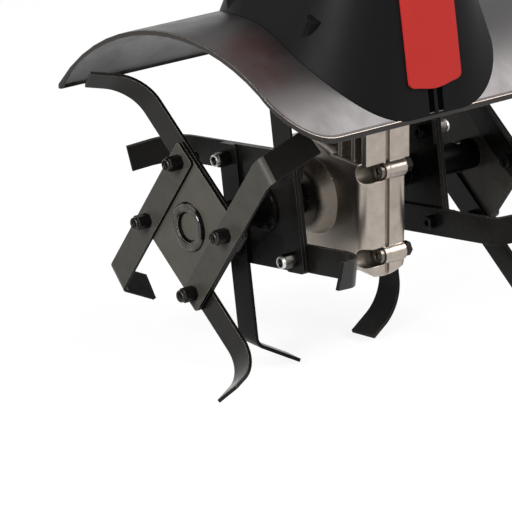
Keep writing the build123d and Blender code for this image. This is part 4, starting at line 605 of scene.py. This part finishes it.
strip_pieces = [name for name in nodes if "_blade_" in name or name.endswith("_plate")]
for name in strip_pieces:
    bent_tight = "_blade_" in name and ("right" in name) == ("inward" in name)
    sharp = bent_tight and not name.endswith("_2")
    strip = round_over(name, STRIP_EDGE_MM, crease=TIGHT_CREASE if sharp else SOFT_CREASE)
    if finish_of[name] == inner_shade_paint:
        continue
    strip.data.materials.append(tip_shade_paint)
    strip.data.materials.append(edge_shade_paint)
    for face in strip.data.polygons:
        # Tip faces of the bent-in blades take the near-black paint, a painted shade.
        if finish_of[name] == face_sheen_paint and abs(face.center.y) < TIP_SHADE_Y:
            face.material_index = TIP_SHADE_INDEX
        # Edge faces of the outer strips take the near-black paint, a painted shade.
        elif abs(face.normal.y) < EDGE_ON:
            face.material_index = EDGE_SHADE_INDEX
print("rounded over", len(strip_pieces), "strip pieces")

# %% [markdown]
# A hub is welded to each rotor plate, and the bead round it is the most irregular thing on the machine.
# A plain torus would look turned. A profile with a low root and a half-round bead is spun into a ring, and
# its points are then pushed in and out in the slow and quick waves that a hand-held torch leaves. The root and
# the foot of the bead, and the whole bead on the inner rotors, are painted near black, a painted shade.

# %% Weld beads
INNER_PLATE_Y = 0.085
OUTER_PLATE_Y = 0.1725
BETWEEN_Y = (INNER_PLATE_Y + OUTER_PLATE_Y) / 2
PLATE_HALF = 0.002
ROOT_R = 0.0130
ROOT_SLOPE = 0.0004
ROOT_HEIGHT = 0.0009
BEAD_R = 0.0195
BEAD_HALF = 0.0045
BEAD_HEIGHT = 0.0047
BEAD_ARC = 8
BEAD_STEPS = 96
BEAD_CREASE = 60
STILL_SHARE = 0.95
WAVES = ((26, 0.0, 0.03), (3, 0.7, 0.16), (7, 2.1, 0.10))
CREST_IN, CREST_OUT = 0.72, 0.80
WELD_SHADE_INDEX = 1
SEAM = 0.00001


def spin_profile(shape, profile, centre, axis, steps):
    """Spins a line of points once round an axis."""
    spots = [shape.verts.new(spot) for spot in profile]
    line = [shape.edges.new(pair) for pair in zip(spots, spots[1:])]
    bmesh.ops.spin(shape, geom=spots + line, cent=centre, axis=axis, angle=2 * pi, steps=steps,
                   use_merge=True)


beads = bmesh.new()
section = [(ROOT_R, 0.0), (ROOT_R + ROOT_SLOPE, ROOT_HEIGHT), (BEAD_R - BEAD_HALF, ROOT_HEIGHT)]
for step in range(1, BEAD_ARC + 1):
    swing = pi * step / BEAD_ARC
    section.append((BEAD_R - BEAD_HALF * cos(swing), BEAD_HEIGHT * sin(swing)))
for side in (-1, 1):
    for plate_y in (INNER_PLATE_Y, OUTER_PLATE_Y):
        face_y = axle.y + side * (plate_y + PLATE_HALF)
        profile = [(axle.x + r, face_y + side * height, axle.z) for r, height in section]
        spin_profile(beads, profile, axle, (0, 1, 0), BEAD_STEPS)
bmesh.ops.remove_doubles(beads, verts=beads.verts, dist=SEAM)
for vert in beads.verts:
    away = Vector((vert.co.x - axle.x, 0, vert.co.z - axle.z))
    if away.length < BEAD_R - BEAD_HALF * STILL_SHARE:
        continue
    around = Vector((1, 0, 0)).angle(away) * (1 if away.z > 0 else -1)
    wave = sum(size * sin(count * around + start) for count, start, size in WAVES)
    vert.co += away.normalized() * (away.length - BEAD_R) * wave / 2
    plate_y = INNER_PLATE_Y if abs(vert.co.y) < BETWEEN_Y else OUTER_PLATE_Y
    face_y = (plate_y + PLATE_HALF) * (1 if vert.co.y > 0 else -1)
    vert.co.y += (vert.co.y - face_y) * wave
bmesh.ops.recalc_face_normals(beads, faces=beads.faces)
shade_smooth(beads, BEAD_CREASE)
for face in beads.faces:
    middle = face.calc_center_median()
    from_crest = (middle - axle).xz.length - BEAD_R
    on_crest = -BEAD_HALF * CREST_IN < from_crest < BEAD_HALF * CREST_OUT
    # Faces off the crest, and all faces on the inner rotors, take the painted shade.
    face.material_index = 0 if on_crest and abs(middle.y) > OUTER_PLATE_Y else WELD_SHADE_INDEX
weld_paint = stove_paint("stove_enamel_on_weld", "#35332D", "#77716A", 0.12, 0.40, 2.0, 6.0, 0.4, 0.2)
# Painted shade: near-black paint for the weld root and foot.
weld_shade_paint = stove_paint("painted_shade_in_weld_root", "#0C0B0A", "#4A463F", 0.30, 0.03, 2.0, 6.0, 0.4, 0.1)
welds = add_piece("weld_beads", beads, weld_paint, "tine_rotor")
welds.data.materials.append(weld_shade_paint)
print("weld bead faces", len(welds.data.polygons))

# %% [markdown]
# The tines are held by lock nuts: a long hexagon with its corners turned off, and a collar rolled over a
# nylon ring. The solid has plain blocks there. One nut is modelled, a cone primitive for the hexagon and a
# spun profile for the collar, and then set at every bolt. The rolled collar is painted brighter than the
# hexagon, a painted highlight, and the hexagon of a zinc nut is painted dark, a painted shade.

# %% One lock nut
NUT_FLATS = 0.013
NUT_HEX = 0.0140
CHAMFER_MM = 1.2
CORNER_MM = 0.5
COLLAR_R = 0.0061
COLLAR_H = 0.0032
COLLAR_SINK = 0.0003
COLLAR_STEPS = 28
BORE_R = 0.00405
LIP_SHARE = 0.72
NUT_CREASE = 34
COLLAR = 1


def close_up(shape, crease):
    """Joins the seam of a spun shape, turns its faces outwards and shades it smooth."""
    bmesh.ops.remove_doubles(shape, verts=shape.verts, dist=SEAM)
    bmesh.ops.recalc_face_normals(shape, faces=shape.faces)
    shade_smooth(shape, crease)


nut = bmesh.new()
corner_r = NUT_FLATS / 2 / cos(pi / 6)
bmesh.ops.create_cone(nut, cap_ends=True, segments=6, radius1=corner_r, radius2=corner_r, depth=NUT_HEX)
bmesh.ops.translate(nut, verts=nut.verts, vec=(0, 0, NUT_HEX / 2))
top = [edge for edge in nut.edges if all(vert.co.z > NUT_HEX / 2 for vert in edge.verts)]
bevel_edges(nut, top, CHAMFER_MM, 3)
upright = [edge for edge in nut.edges if abs(edge.verts[0].co.z - edge.verts[1].co.z) > NUT_HEX / 2]
bevel_edges(nut, upright, CORNER_MM, 2)
rolled_over = [(1.0, 0.0), (1.0, 0.55), (0.96, 0.82), (0.88, 0.97), (0.80, 1.0), (0.74, 0.93), (0.73, 0.62)]
section = [(COLLAR_R * share, height) for share, height in rolled_over] + [(BORE_R, 0.60), (BORE_R, 0.0)]
profile = [(r, 0, NUT_HEX - COLLAR_SINK + height * COLLAR_H) for r, height in section]
spin_profile(nut, profile, (0, 0, 0), (0, 0, 1), COLLAR_STEPS)
close_up(nut, NUT_CREASE)
for face in nut.faces:
    middle = face.calc_center_median()
    face.material_index = COLLAR if middle.z > NUT_HEX and middle.xy.length > COLLAR_R * LIP_SHARE else 0
nut_mesh = bpy.data.meshes.new("one_lock_nut")
nut.to_mesh(nut_mesh)
nut.free()
print("nut faces", len(nut_mesh.polygons))

# %% [markdown]
# A rotor's four bolts stand on a square round the axle, and the outer rotors are parked an eighth of a turn
# from the inner ones. A copy of the nut is turned to face outwards and set down at each bolt.

# %% Lock nuts on the rotors
BOLT_INSET = 0.04475
STACK_HALF = 0.0056
PARK_TURN = radians(9.3)
STAGGER = radians(45.0)
ROTORS = (("inner", INNER_PLATE_Y, PARK_TURN), ("outer", OUTER_PLATE_Y, PARK_TURN - STAGGER))

for rotor, plate_y, turn in ROTORS:
    along = Vector((cos(turn), 0, sin(turn))) * BOLT_INSET
    across = Vector((-sin(turn), 0, cos(turn))) * BOLT_INSET
    set_of_nuts = bmesh.new()
    for side in (-1, 1):
        facing = Vector((0, side, 0)).to_track_quat("Z", "X").to_matrix().to_4x4()
        for a, b in ((-1, -1), (-1, 1), (1, -1), (1, 1)):
            seat = axle + along * a + across * b + Vector((0, side * (plate_y + STACK_HALF), 0))
            placed = nut_mesh.copy()
            placed.transform(Matrix.Translation(seat) @ facing)
            set_of_nuts.from_mesh(placed)
            bpy.data.meshes.remove(placed)
    node = f"{rotor}_tine_nuts"
    # The collars take a painted highlight, and the zinc hexagons a painted shade.
    hexagon, rolled = (zinc_with_painted_shade, zinc_collar_highlight) if rotor == "inner" else (screw_black, black_collar_highlight)
    nuts = add_piece(f"{rotor}_lock_nuts", set_of_nuts, hexagon, body_of[node], (node,))
    nuts.data.materials.append(rolled)
bpy.data.meshes.remove(nut_mesh)
print("lock nuts", 16)

# %% [markdown]
# The hood is one deep-drawn sheet, an arch round the axle with a folded rim, and its front corners are
# rounder than the solid's. Its edge is drawn once as seen from above: a straight front, a quarter of an
# ellipse, and a side that opens out to the rear. A point of that edge is then moved inwards or lifted onto
# the arch by two small functions.

# %% Edge of the hood
HOOD_R = 0.191395
FRONT_X = 0.1521
CORNER_Y = 0.1145
CORNER_X = 0.0465
SIDE_Y = 0.1722
REAR_X = -0.1575
REAR_Y = 0.2120
FRONT_STEPS, CORNER_STEPS, SIDE_STEPS = 16, 14, 16


def rim_x(y):
    """How far ahead of the axle the hood's edge lies, at a distance from the middle."""
    if y <= CORNER_Y:
        return FRONT_X
    if y <= SIDE_Y:
        return FRONT_X - CORNER_X * (1 - (1 - ((y - CORNER_Y) / (SIDE_Y - CORNER_Y)) ** 2) ** 0.5)
    return FRONT_X - CORNER_X - (y - SIDE_Y) / (REAR_Y - SIDE_Y) * (FRONT_X - CORNER_X - REAR_X)


def drawn_in(distance):
    """The hood's edge seen from above, moved inwards."""
    moved = []
    for k, spot in enumerate(ring):
        before = (spot - ring[k - 1]).normalized()
        after = (ring[(k + 1) % len(ring)] - spot).normalized()
        inward = Vector((-before.y - after.y, before.x + after.x))
        moved.append(spot + inward * (distance / (1 + before.dot(after))))
    return moved


def on_arch(x, y, radius):
    """Point on the arch above a place seen from above."""
    return axle + Vector((x, y, (radius**2 - x**2) ** 0.5))


half_spread = [CORNER_Y * k / FRONT_STEPS for k in range(FRONT_STEPS)]
half_spread += [CORNER_Y + (SIDE_Y - CORNER_Y) * sin(pi / 2 * k / CORNER_STEPS) for k in range(CORNER_STEPS)]
half_spread += [SIDE_Y + (REAR_Y - SIDE_Y) * k / SIDE_STEPS for k in range(SIDE_STEPS + 1)]
spread = [-y for y in reversed(half_spread[1:])] + half_spread
last = len(spread) - 1
ring = [Vector((rim_x(abs(y)), y)) for y in spread] + [Vector((REAR_X, y)) for y in reversed(spread[1:-1])]
print("points on the hood's edge", len(ring))

# %% [markdown]
# Rings at growing distances inside that edge make the rolled lip with the groove behind it, the wall and
# the foot of the rim, and a grid between front and rear makes the outer and the inner skin. A bent plane
# with thickness would have no lip. The lip's faces take a pale metal finish, a painted highlight that draws
# the thin bright line along the hood. Last, a hole is cut for the gearbox's neck, and its two edges are
# bridged.

# %% Drawn hood
HOOD_SHEET = 0.003
RIM_DEPTH = 0.0050
LIP_INSET = 0.0020
LIP_STEPS = ((0.0017, 0.0006), (0.0012, 0.0006), (0.0010, 0.0), (0.0005, 0.0), (0.0002, 0.0002))
HEM = 0.0006
WALL_STEPS = ((0.0, HEM), (0.0, RIM_DEPTH - HEM), (HEM, RIM_DEPTH), (HOOD_SHEET - HEM, RIM_DEPTH),
              (HOOD_SHEET, RIM_DEPTH - HEM))
LIP_STEP = 4
PAINTED, RIM_HIGHLIGHT_INDEX = 1, 2
HOOD_ROWS = 54
NECK_X = 0.0475
NECK_R = 0.050


def hood_skin(shape, edge, radius):
    """A grid over the arch inside an edge, and its outer ring."""
    columns = []
    for j in range(last + 1):
        front, rear = edge[j], edge[(2 * last - j) % len(ring)]
        column = []
        for i in range(HOOD_ROWS + 1 if 0 < j < last else 1):
            share = i / HOOD_ROWS
            turn = acos(front.x / radius) * (1 - share) + acos(rear.x / radius) * share
            y = front.y * (1 - share) + rear.y * share
            column.append(shape.verts.new(on_arch(radius * cos(turn), y, radius)))
        columns.append(column)
    for left, right in zip(columns, columns[1:]):
        for i in range(HOOD_ROWS):
            corners = [left[min(i, len(left) - 1)], right[min(i, len(right) - 1)],
                       right[min(i + 1, len(right) - 1)], left[min(i + 1, len(left) - 1)]]
            shape.faces.new(list(dict.fromkeys(corners)))
    return [column[0] for column in columns] + [column[-1] for column in reversed(columns[1:-1])]


hood = bmesh.new()
rings = [hood_skin(hood, drawn_in(LIP_INSET), HOOD_R)]
for inset, drop in LIP_STEPS:
    sunk = Vector((0, 0, drop))
    rings.append([hood.verts.new(on_arch(spot.x, spot.y, HOOD_R) - sunk) for spot in drawn_in(inset)])
for inset, drop in WALL_STEPS:
    wall = [on_arch(edge.x, spot.y, HOOD_R) + Vector((spot.x - edge.x, 0, -drop))
            for edge, spot in zip(ring, drawn_in(inset))]
    rings.append([hood.verts.new(spot) for spot in wall])
rings.append(hood_skin(hood, drawn_in(HOOD_SHEET), HOOD_R - HOOD_SHEET))
for step, (upper, lower) in enumerate(zip(rings, rings[1:])):
    for k in range(len(ring)):
        after = (k + 1) % len(ring)
        made = hood.faces.new((upper[k], upper[after], lower[after], lower[k]))
        # The lip's faces take the painted highlight.
        made.material_index = RIM_HIGHLIGHT_INDEX if step == LIP_STEP else PAINTED
neck = axle + Vector((NECK_X, 0, 0))
from_above = Vector((1, 1, 0))
inside = [face for face in hood.faces if ((face.calc_center_median() - neck) * from_above).length < NECK_R]
bmesh.ops.delete(hood, geom=inside, context="FACES")
mouth = [edge for edge in hood.edges if edge.is_boundary]
for vert in dict.fromkeys(vert for edge in mouth for vert in edge.verts):
    away = (vert.co - neck) * from_above
    spot = neck + away.normalized() * NECK_R - axle
    radius = HOOD_R if (vert.co - axle).xz.length > HOOD_R - HOOD_SHEET / 2 else HOOD_R - HOOD_SHEET
    vert.co = on_arch(spot.x, spot.y, radius)
bmesh.ops.bridge_loops(hood, edges=mouth)
bmesh.ops.recalc_face_normals(hood, faces=hood.faces)
shade_smooth(hood, SOFT_CREASE)
drawn_hood = add_piece("drawn_hood", hood, hood_paint, body_of["tine_hood"],
                       ("tine_hood",))
drawn_hood.data.materials.append(rim_paint)
drawn_hood.data.materials.append(rim_highlight_steel)
even_shading(drawn_hood)
print("hood faces", len(drawn_hood.data.polygons))

# %% [markdown]
# The housing and the cover are mouldings, so their edges are rounder than a strip's. The same rounding-over
# serves them, with a larger width. The cover's red tongue ends in a shallow curve, so the lower edges of the
# copy are cut into short pieces first, and their points are drawn down along the sloping front.

# %% Motor shells
TONGUE_HALF = 0.031
TONGUE_FOOT = 0.0065
TONGUE_DIP = 0.0042
TONGUE_CUTS = 15
FRONT_LEAN = 0.17
COVER_EDGE_MM = 1.2
HOUSING_EDGE_MM = 0.9
NEAR = 0.0001

cover = welded_copy("motor_cover")
lowest = min(vert.co.z for vert in cover.verts)
foot = [edge for edge in cover.edges
        if all(vert.co.z - lowest < NEAR for vert in edge.verts)
        and abs(edge.verts[0].co.y - edge.verts[1].co.y) > TONGUE_HALF]
bmesh.ops.subdivide_edges(cover, edges=foot, cuts=TONGUE_CUTS)
for vert in cover.verts:
    if vert.co.z - lowest < TONGUE_FOOT and abs(vert.co.y) < TONGUE_HALF:
        dip = TONGUE_DIP * cos(pi / 2 * vert.co.y / TONGUE_HALF) ** 2
        vert.co += Vector((FRONT_LEAN * dip, 0, -dip))
round_over("motor_cover", COVER_EDGE_MM, cover)
round_over("motor_housing", HOUSING_EDGE_MM)
print("tongue edges drawn down", len(foot))

# %% [markdown]
# The gearbox is a casting, and its bearing bosses run out in wide soft fillets, so these edges are picked
# out by where they lie and rounded first. Its bottom is a round sump: the copy is sliced into strips there,
# and the points are raised the more, the further out they lie. Only the seat of the worm's lower bearing
# stays where it is.

# %% Gearbox casting
BOSS_FACE_R = 0.032
BOSS_FACE_Y = 0.044
BOSS_ROOT_R = 0.041
BOSS_ROOT_Y = 0.028
BOSS_ROUNDS = ((BOSS_FACE_R, BOSS_FACE_Y, 6.5), (BOSS_ROOT_R, BOSS_ROOT_Y, 4.5))
BOSS_FILLET = 0.0050
BOSS_RISE = 0.0004
ON_CIRCLE = 0.0008
CASTING_EDGE_MM = 0.7
SUMP_Z = -0.0546
SUMP_HALF = 0.028
SUMP_LIFT = 0.9
SUMP_CURVE = 2.3
SUMP_CUTS = (0.009, 0.013, 0.0165, 0.0195, 0.022)
BEARING_SEAT_R = 0.0185
BEARING_SEAT_LOW = 0.0100


def round_bosses(shape):
    """Rounds the face and the foot of the bearing boss."""
    for radius, y, width_mm in BOSS_ROUNDS:
        circle = [edge for edge in shape.edges
                  if all(abs((vert.co - axle).xz.length - radius) < ON_CIRCLE
                         and abs(abs(vert.co.y) - y) < ON_CIRCLE for vert in edge.verts)]
        bevel_edges(shape, circle, width_mm, 5)
        print("boss edges", len(circle))


def round_sump(shape):
    """Slices the bottom of the casting and raises it towards its sides."""
    for cut_y in SUMP_CUTS:
        for side in (-1, 1):
            lower = [face for face in shape.faces if face.calc_center_median().z < axle.z + SUMP_Z]
            around = list(dict.fromkeys(part for face in lower for part in (*face.verts, *face.edges)))
            bmesh.ops.bisect_plane(shape, geom=lower + around, dist=SEAM, plane_co=(0, side * cut_y, 0),
                                   plane_no=(0, 1, 0))
    for vert in shape.verts:
        below = axle.z + SUMP_Z - vert.co.z
        from_worm = (vert.co - axle - Vector((NECK_X, 0, 0))).xy.length
        in_seat = from_worm < BEARING_SEAT_R and below < BEARING_SEAT_LOW
        if below > 0 and not in_seat:
            vert.co.z += below * SUMP_LIFT * (abs(vert.co.y) / SUMP_HALF) ** SUMP_CURVE


castings = []
for name in ("gearbox_right_half", "gearbox_left_half"):
    shape = welded_copy(name)
    round_bosses(shape)
    round_sump(shape)
    castings.append(round_over(name, CASTING_EDGE_MM, shape))
print("castings", [casting.name for casting in castings])

# %% [markdown]
# The bosses of the casting, its screw pockets and the recesses of its neck take a darker finish, a painted
# shade in the hollows and a painted dark reflection on the bosses. A mask painted by hand would do it too, but
# these places are known by their measures, so their faces are picked out one by one and given the darker
# finish.

# %% Painted shade on the casting
POCKET_X = 0.076
POCKET_ZS = (-0.045, 0.040, 0.140)
POCKET_R = 0.0095
POCKET_WALL = 0.0003
SEAT_Y = 0.005
SEAT_NEAR = 0.0010
FACING_IN = -0.5
RECESS_FOOT_Z = 0.0505
RECESS_TOP_Z = 0.1995
RECESS_FRONT_X = 0.0735
RECESS_HALF = 0.0255
SHADE_FACE_INDEX = 1


def in_a_pocket(spot, normal):
    """Whether a face lies on the seat or the wall of a screw pocket."""
    for pocket_z in POCKET_ZS:
        away = Vector((spot.x - POCKET_X, 0, spot.z - pocket_z))
        on_seat = abs(abs(spot.y) - SEAT_Y) < SEAT_NEAR
        on_wall = normal.dot(away) < FACING_IN * away.length
        if away.length < POCKET_R + POCKET_WALL and (on_seat or on_wall):
            return True
    return False


painted_shade = 0
for casting in castings:
    casting.data.materials.append(casting_shade_finish)
    for face in casting.data.polygons:
        spot = face.center - axle
        in_neck = RECESS_FOOT_Z < spot.z < RECESS_TOP_Z
        in_recess = in_neck and spot.x < RECESS_FRONT_X and abs(spot.y) < RECESS_HALF
        on_boss = abs(spot.y) > BOSS_ROOT_Y + BOSS_RISE and spot.xz.length < BOSS_ROOT_R + BOSS_FILLET
        # Bosses, pockets and recesses take the darker finish, a painted shade.
        dark = in_recess or on_boss or in_a_pocket(spot, face.normal)
        face.material_index = SHADE_FACE_INDEX if dark else 0
        painted_shade += dark
print("stained faces", painted_shade)

# %% [markdown]
# The screws that hold the two halves have broad, low heads. The solids have tall ones, so the points of each
# head on a copy are moved out from the screw's own axis and back towards its seat.

# %% Low screw heads
HEAD_R = 0.0065
LOW_HEAD_R = 0.0078
HEAD_CUT = 0.0035
HEAD_ROOM = 0.0005
HEAD_RIM = 0.0010
SCREW_EDGE_MM = 0.3

screws = welded_copy("gearbox_screws")
moved = 0
for vert in screws.verts:
    for pocket_z in POCKET_ZS:
        away = Vector((vert.co.x - axle.x - POCKET_X, 0, vert.co.z - axle.z - pocket_z))
        if away.length > HEAD_R + HEAD_ROOM or vert.co.y > NEAR - SEAT_Y:
            continue
        if abs(vert.co.y + SEAT_Y) > NEAR:
            vert.co.y += HEAD_CUT
        if away.length > HEAD_R - HEAD_RIM:
            vert.co += away * (LOW_HEAD_R / HEAD_R - 1)
        moved += 1
round_over("gearbox_screws", SCREW_EDGE_MM, screws)
print("screw points moved", moved)

# %% [markdown]
# The tubes, the switch box and the clamp knobs are handled most, so they have no sharp edge anywhere. The
# same copies serve them: tubes are only smoothed and broken at their cut ends, and mouldings are rounded.

# %% Rounded handle pieces
HANDLE_EDGES_MM = {
    "lower_handle_tubes": 0.4, "upper_handle": 0.4, "switch_lever": 0.4,
    "switch_box_top": 0.6, "switch_box_base": 0.6, "lock_button": 0.4, "power_inlet": 0.5,
    "right_clamp_knob": 1.0, "left_clamp_knob": 1.0,
}
for name, width_mm in HANDLE_EDGES_MM.items():
    round_over(name, width_mm)
print("rounded handle pieces", len(HANDLE_EDGES_MM))

# %% [markdown]
# Behind the two air slots in the front of the housing sits a black pad, a dark sheet put there as painted
# shade so that the slots look dark. Without it the slots would be bright windows onto the hood. A box primitive
# is leaned to the wall's own slope and rounded, and the finish gives it its pores.

# %% Slot shade pad
SLOT_SHADE_SIZE = (0.0030, 0.0300, 0.0290)
SLOT_SHADE_EDGE_MM = 0.8
SLOT_SHADE_Z = 0.1300
WALL_X = 0.14797
WALL_Z = 0.1445
RECESS = 0.0015
SLOT_SHADE_CREASE = 40

# Painted shade: a black pad behind the slots.
slot_shade_finish = moulded("black_pad_as_painted_slot_shade", "#0B0B0B", "#060606", 0.92, 0.0, 1.5, 0.5, 0.5)
shade_pad = bmesh.new()
bmesh.ops.create_cube(shade_pad, size=1.0)
bmesh.ops.scale(shade_pad, verts=shade_pad.verts, vec=SLOT_SHADE_SIZE)
bevel_edges(shade_pad, shade_pad.edges[:], SLOT_SHADE_EDGE_MM, 3)
for vert in shade_pad.verts:
    vert.co.x -= FRONT_LEAN * vert.co.z
middle_x = WALL_X + FRONT_LEAN * (WALL_Z - SLOT_SHADE_Z) - RECESS - SLOT_SHADE_SIZE[0] / 2
bmesh.ops.translate(shade_pad, verts=shade_pad.verts, vec=axle + Vector((middle_x, 0, SLOT_SHADE_Z)))
shade_smooth(shade_pad, SLOT_SHADE_CREASE)
add_piece("slot_shade_pad", shade_pad, slot_shade_finish, "chassis")
print("slot filter", SLOT_SHADE_SIZE)

# %% [markdown]
# The grips are rubber sleeves pushed over the bar: a thick end ring, a row of rolled ribs, and a lip at
# the switch box. The profile is drawn once along the bar and spun round it, for each hand.

# %% Rubber grips
low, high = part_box("handle_grips")
bar = Vector(((low[0] + high[0]) / 2, 0, (low[2] + high[2]) / 2))
GRIP_R = 0.0165
GROOVE_R = GRIP_R - 0.0024
RIB_SIDE_R = GRIP_R - 0.0012
RIB_TOP_R = GRIP_R - 0.0007
TUBE_R = 0.0125
SLEEVE_R = TUBE_R + 0.0002
GRIP_END = high[1]
GRIP_START = GRIP_END - 0.100
GRIP_STEPS = 48
GRIP_CREASE = 55
RIBS = 12
FIRST_RIB = 0.0085
RIB_PITCH = 0.0064

section = [(0.0002, SLEEVE_R), (0.0002, GRIP_R - 0.0008), (0.0010, GRIP_R), (0.0042, GRIP_R),
           (0.0052, GRIP_R - 0.0008), (0.0060, GROOVE_R)]
for rib in range(RIBS):
    start = FIRST_RIB + rib * RIB_PITCH
    section += [(start, GROOVE_R), (start + 0.0009, RIB_SIDE_R), (start + 0.0021, RIB_TOP_R),
                (start + 0.0033, RIB_SIDE_R), (start + 0.0042, GROOVE_R)]
section += [(0.0880, GROOVE_R), (0.0895, GRIP_R - 0.0010), (0.0908, GRIP_R), (0.0972, GRIP_R),
            (0.0990, GRIP_R - 0.0012), (0.0997, GRIP_R - 0.0030), (0.0998, SLEEVE_R)]
grips = bmesh.new()
for side in (-1, 1):
    profile = [bar + Vector((radius, side * (GRIP_START + along), 0)) for along, radius in section]
    spin_profile(grips, profile, bar, (0, 1, 0), GRIP_STEPS)
close_up(grips, GRIP_CREASE)
add_piece("ribbed_grips", grips, rubber, "handle", ("handle_grips",))
print("grips", 2, "with", RIBS, "ribs each")

# %% [markdown]
# The open tube ends at the fold joint are closed with moulded plugs, as on any tube handle, so that no
# water and no finger gets in. Each is a shallow dome spun round the tube's own axis.

# %% Tube plugs
HANDLE_RISE = radians(46.0)
TUBE_WALL = 0.0018
STEM_R = TUBE_R - TUBE_WALL
PLUG_R = 0.0121
PLUG_RISE = 0.0030
PLUG_DEPTH = 0.0100
PLUG_STEPS = 32
PLUG_CREASE = 40
TAIL = 0.026
LOWER_TUBE_Y = 0.050
UPPER_TUBE_Y = 0.078

fold = Vector(joints["handle_fold"]["pos_m"])
up_handle = Vector((-cos(HANDLE_RISE), 0, sin(HANDLE_RISE)))
section = [(STEM_R, -PLUG_DEPTH), (STEM_R, 0.0), (PLUG_R, 0.0), (PLUG_R, 0.0008), (PLUG_R * 0.94, 0.0017),
           (PLUG_R * 0.75, 0.0025), (PLUG_R * 0.4, PLUG_RISE), (0.0, PLUG_RISE + 0.0002)]
for body, tube_y, way in (("chassis", LOWER_TUBE_Y, up_handle), ("handle", UPPER_TUBE_Y, -up_handle)):
    plugs = bmesh.new()
    for side in (-1, 1):
        mouth = fold + way * TAIL + Vector((0, side * tube_y, 0))
        profile = [mouth + Vector((0, r, 0)) + way * height for r, height in section]
        spin_profile(plugs, profile, mouth, way, PLUG_STEPS)
    close_up(plugs, PLUG_CREASE)
    add_piece(f"{body}_tube_plugs", plugs, black_nylon, body)
print("tube plugs", 4)
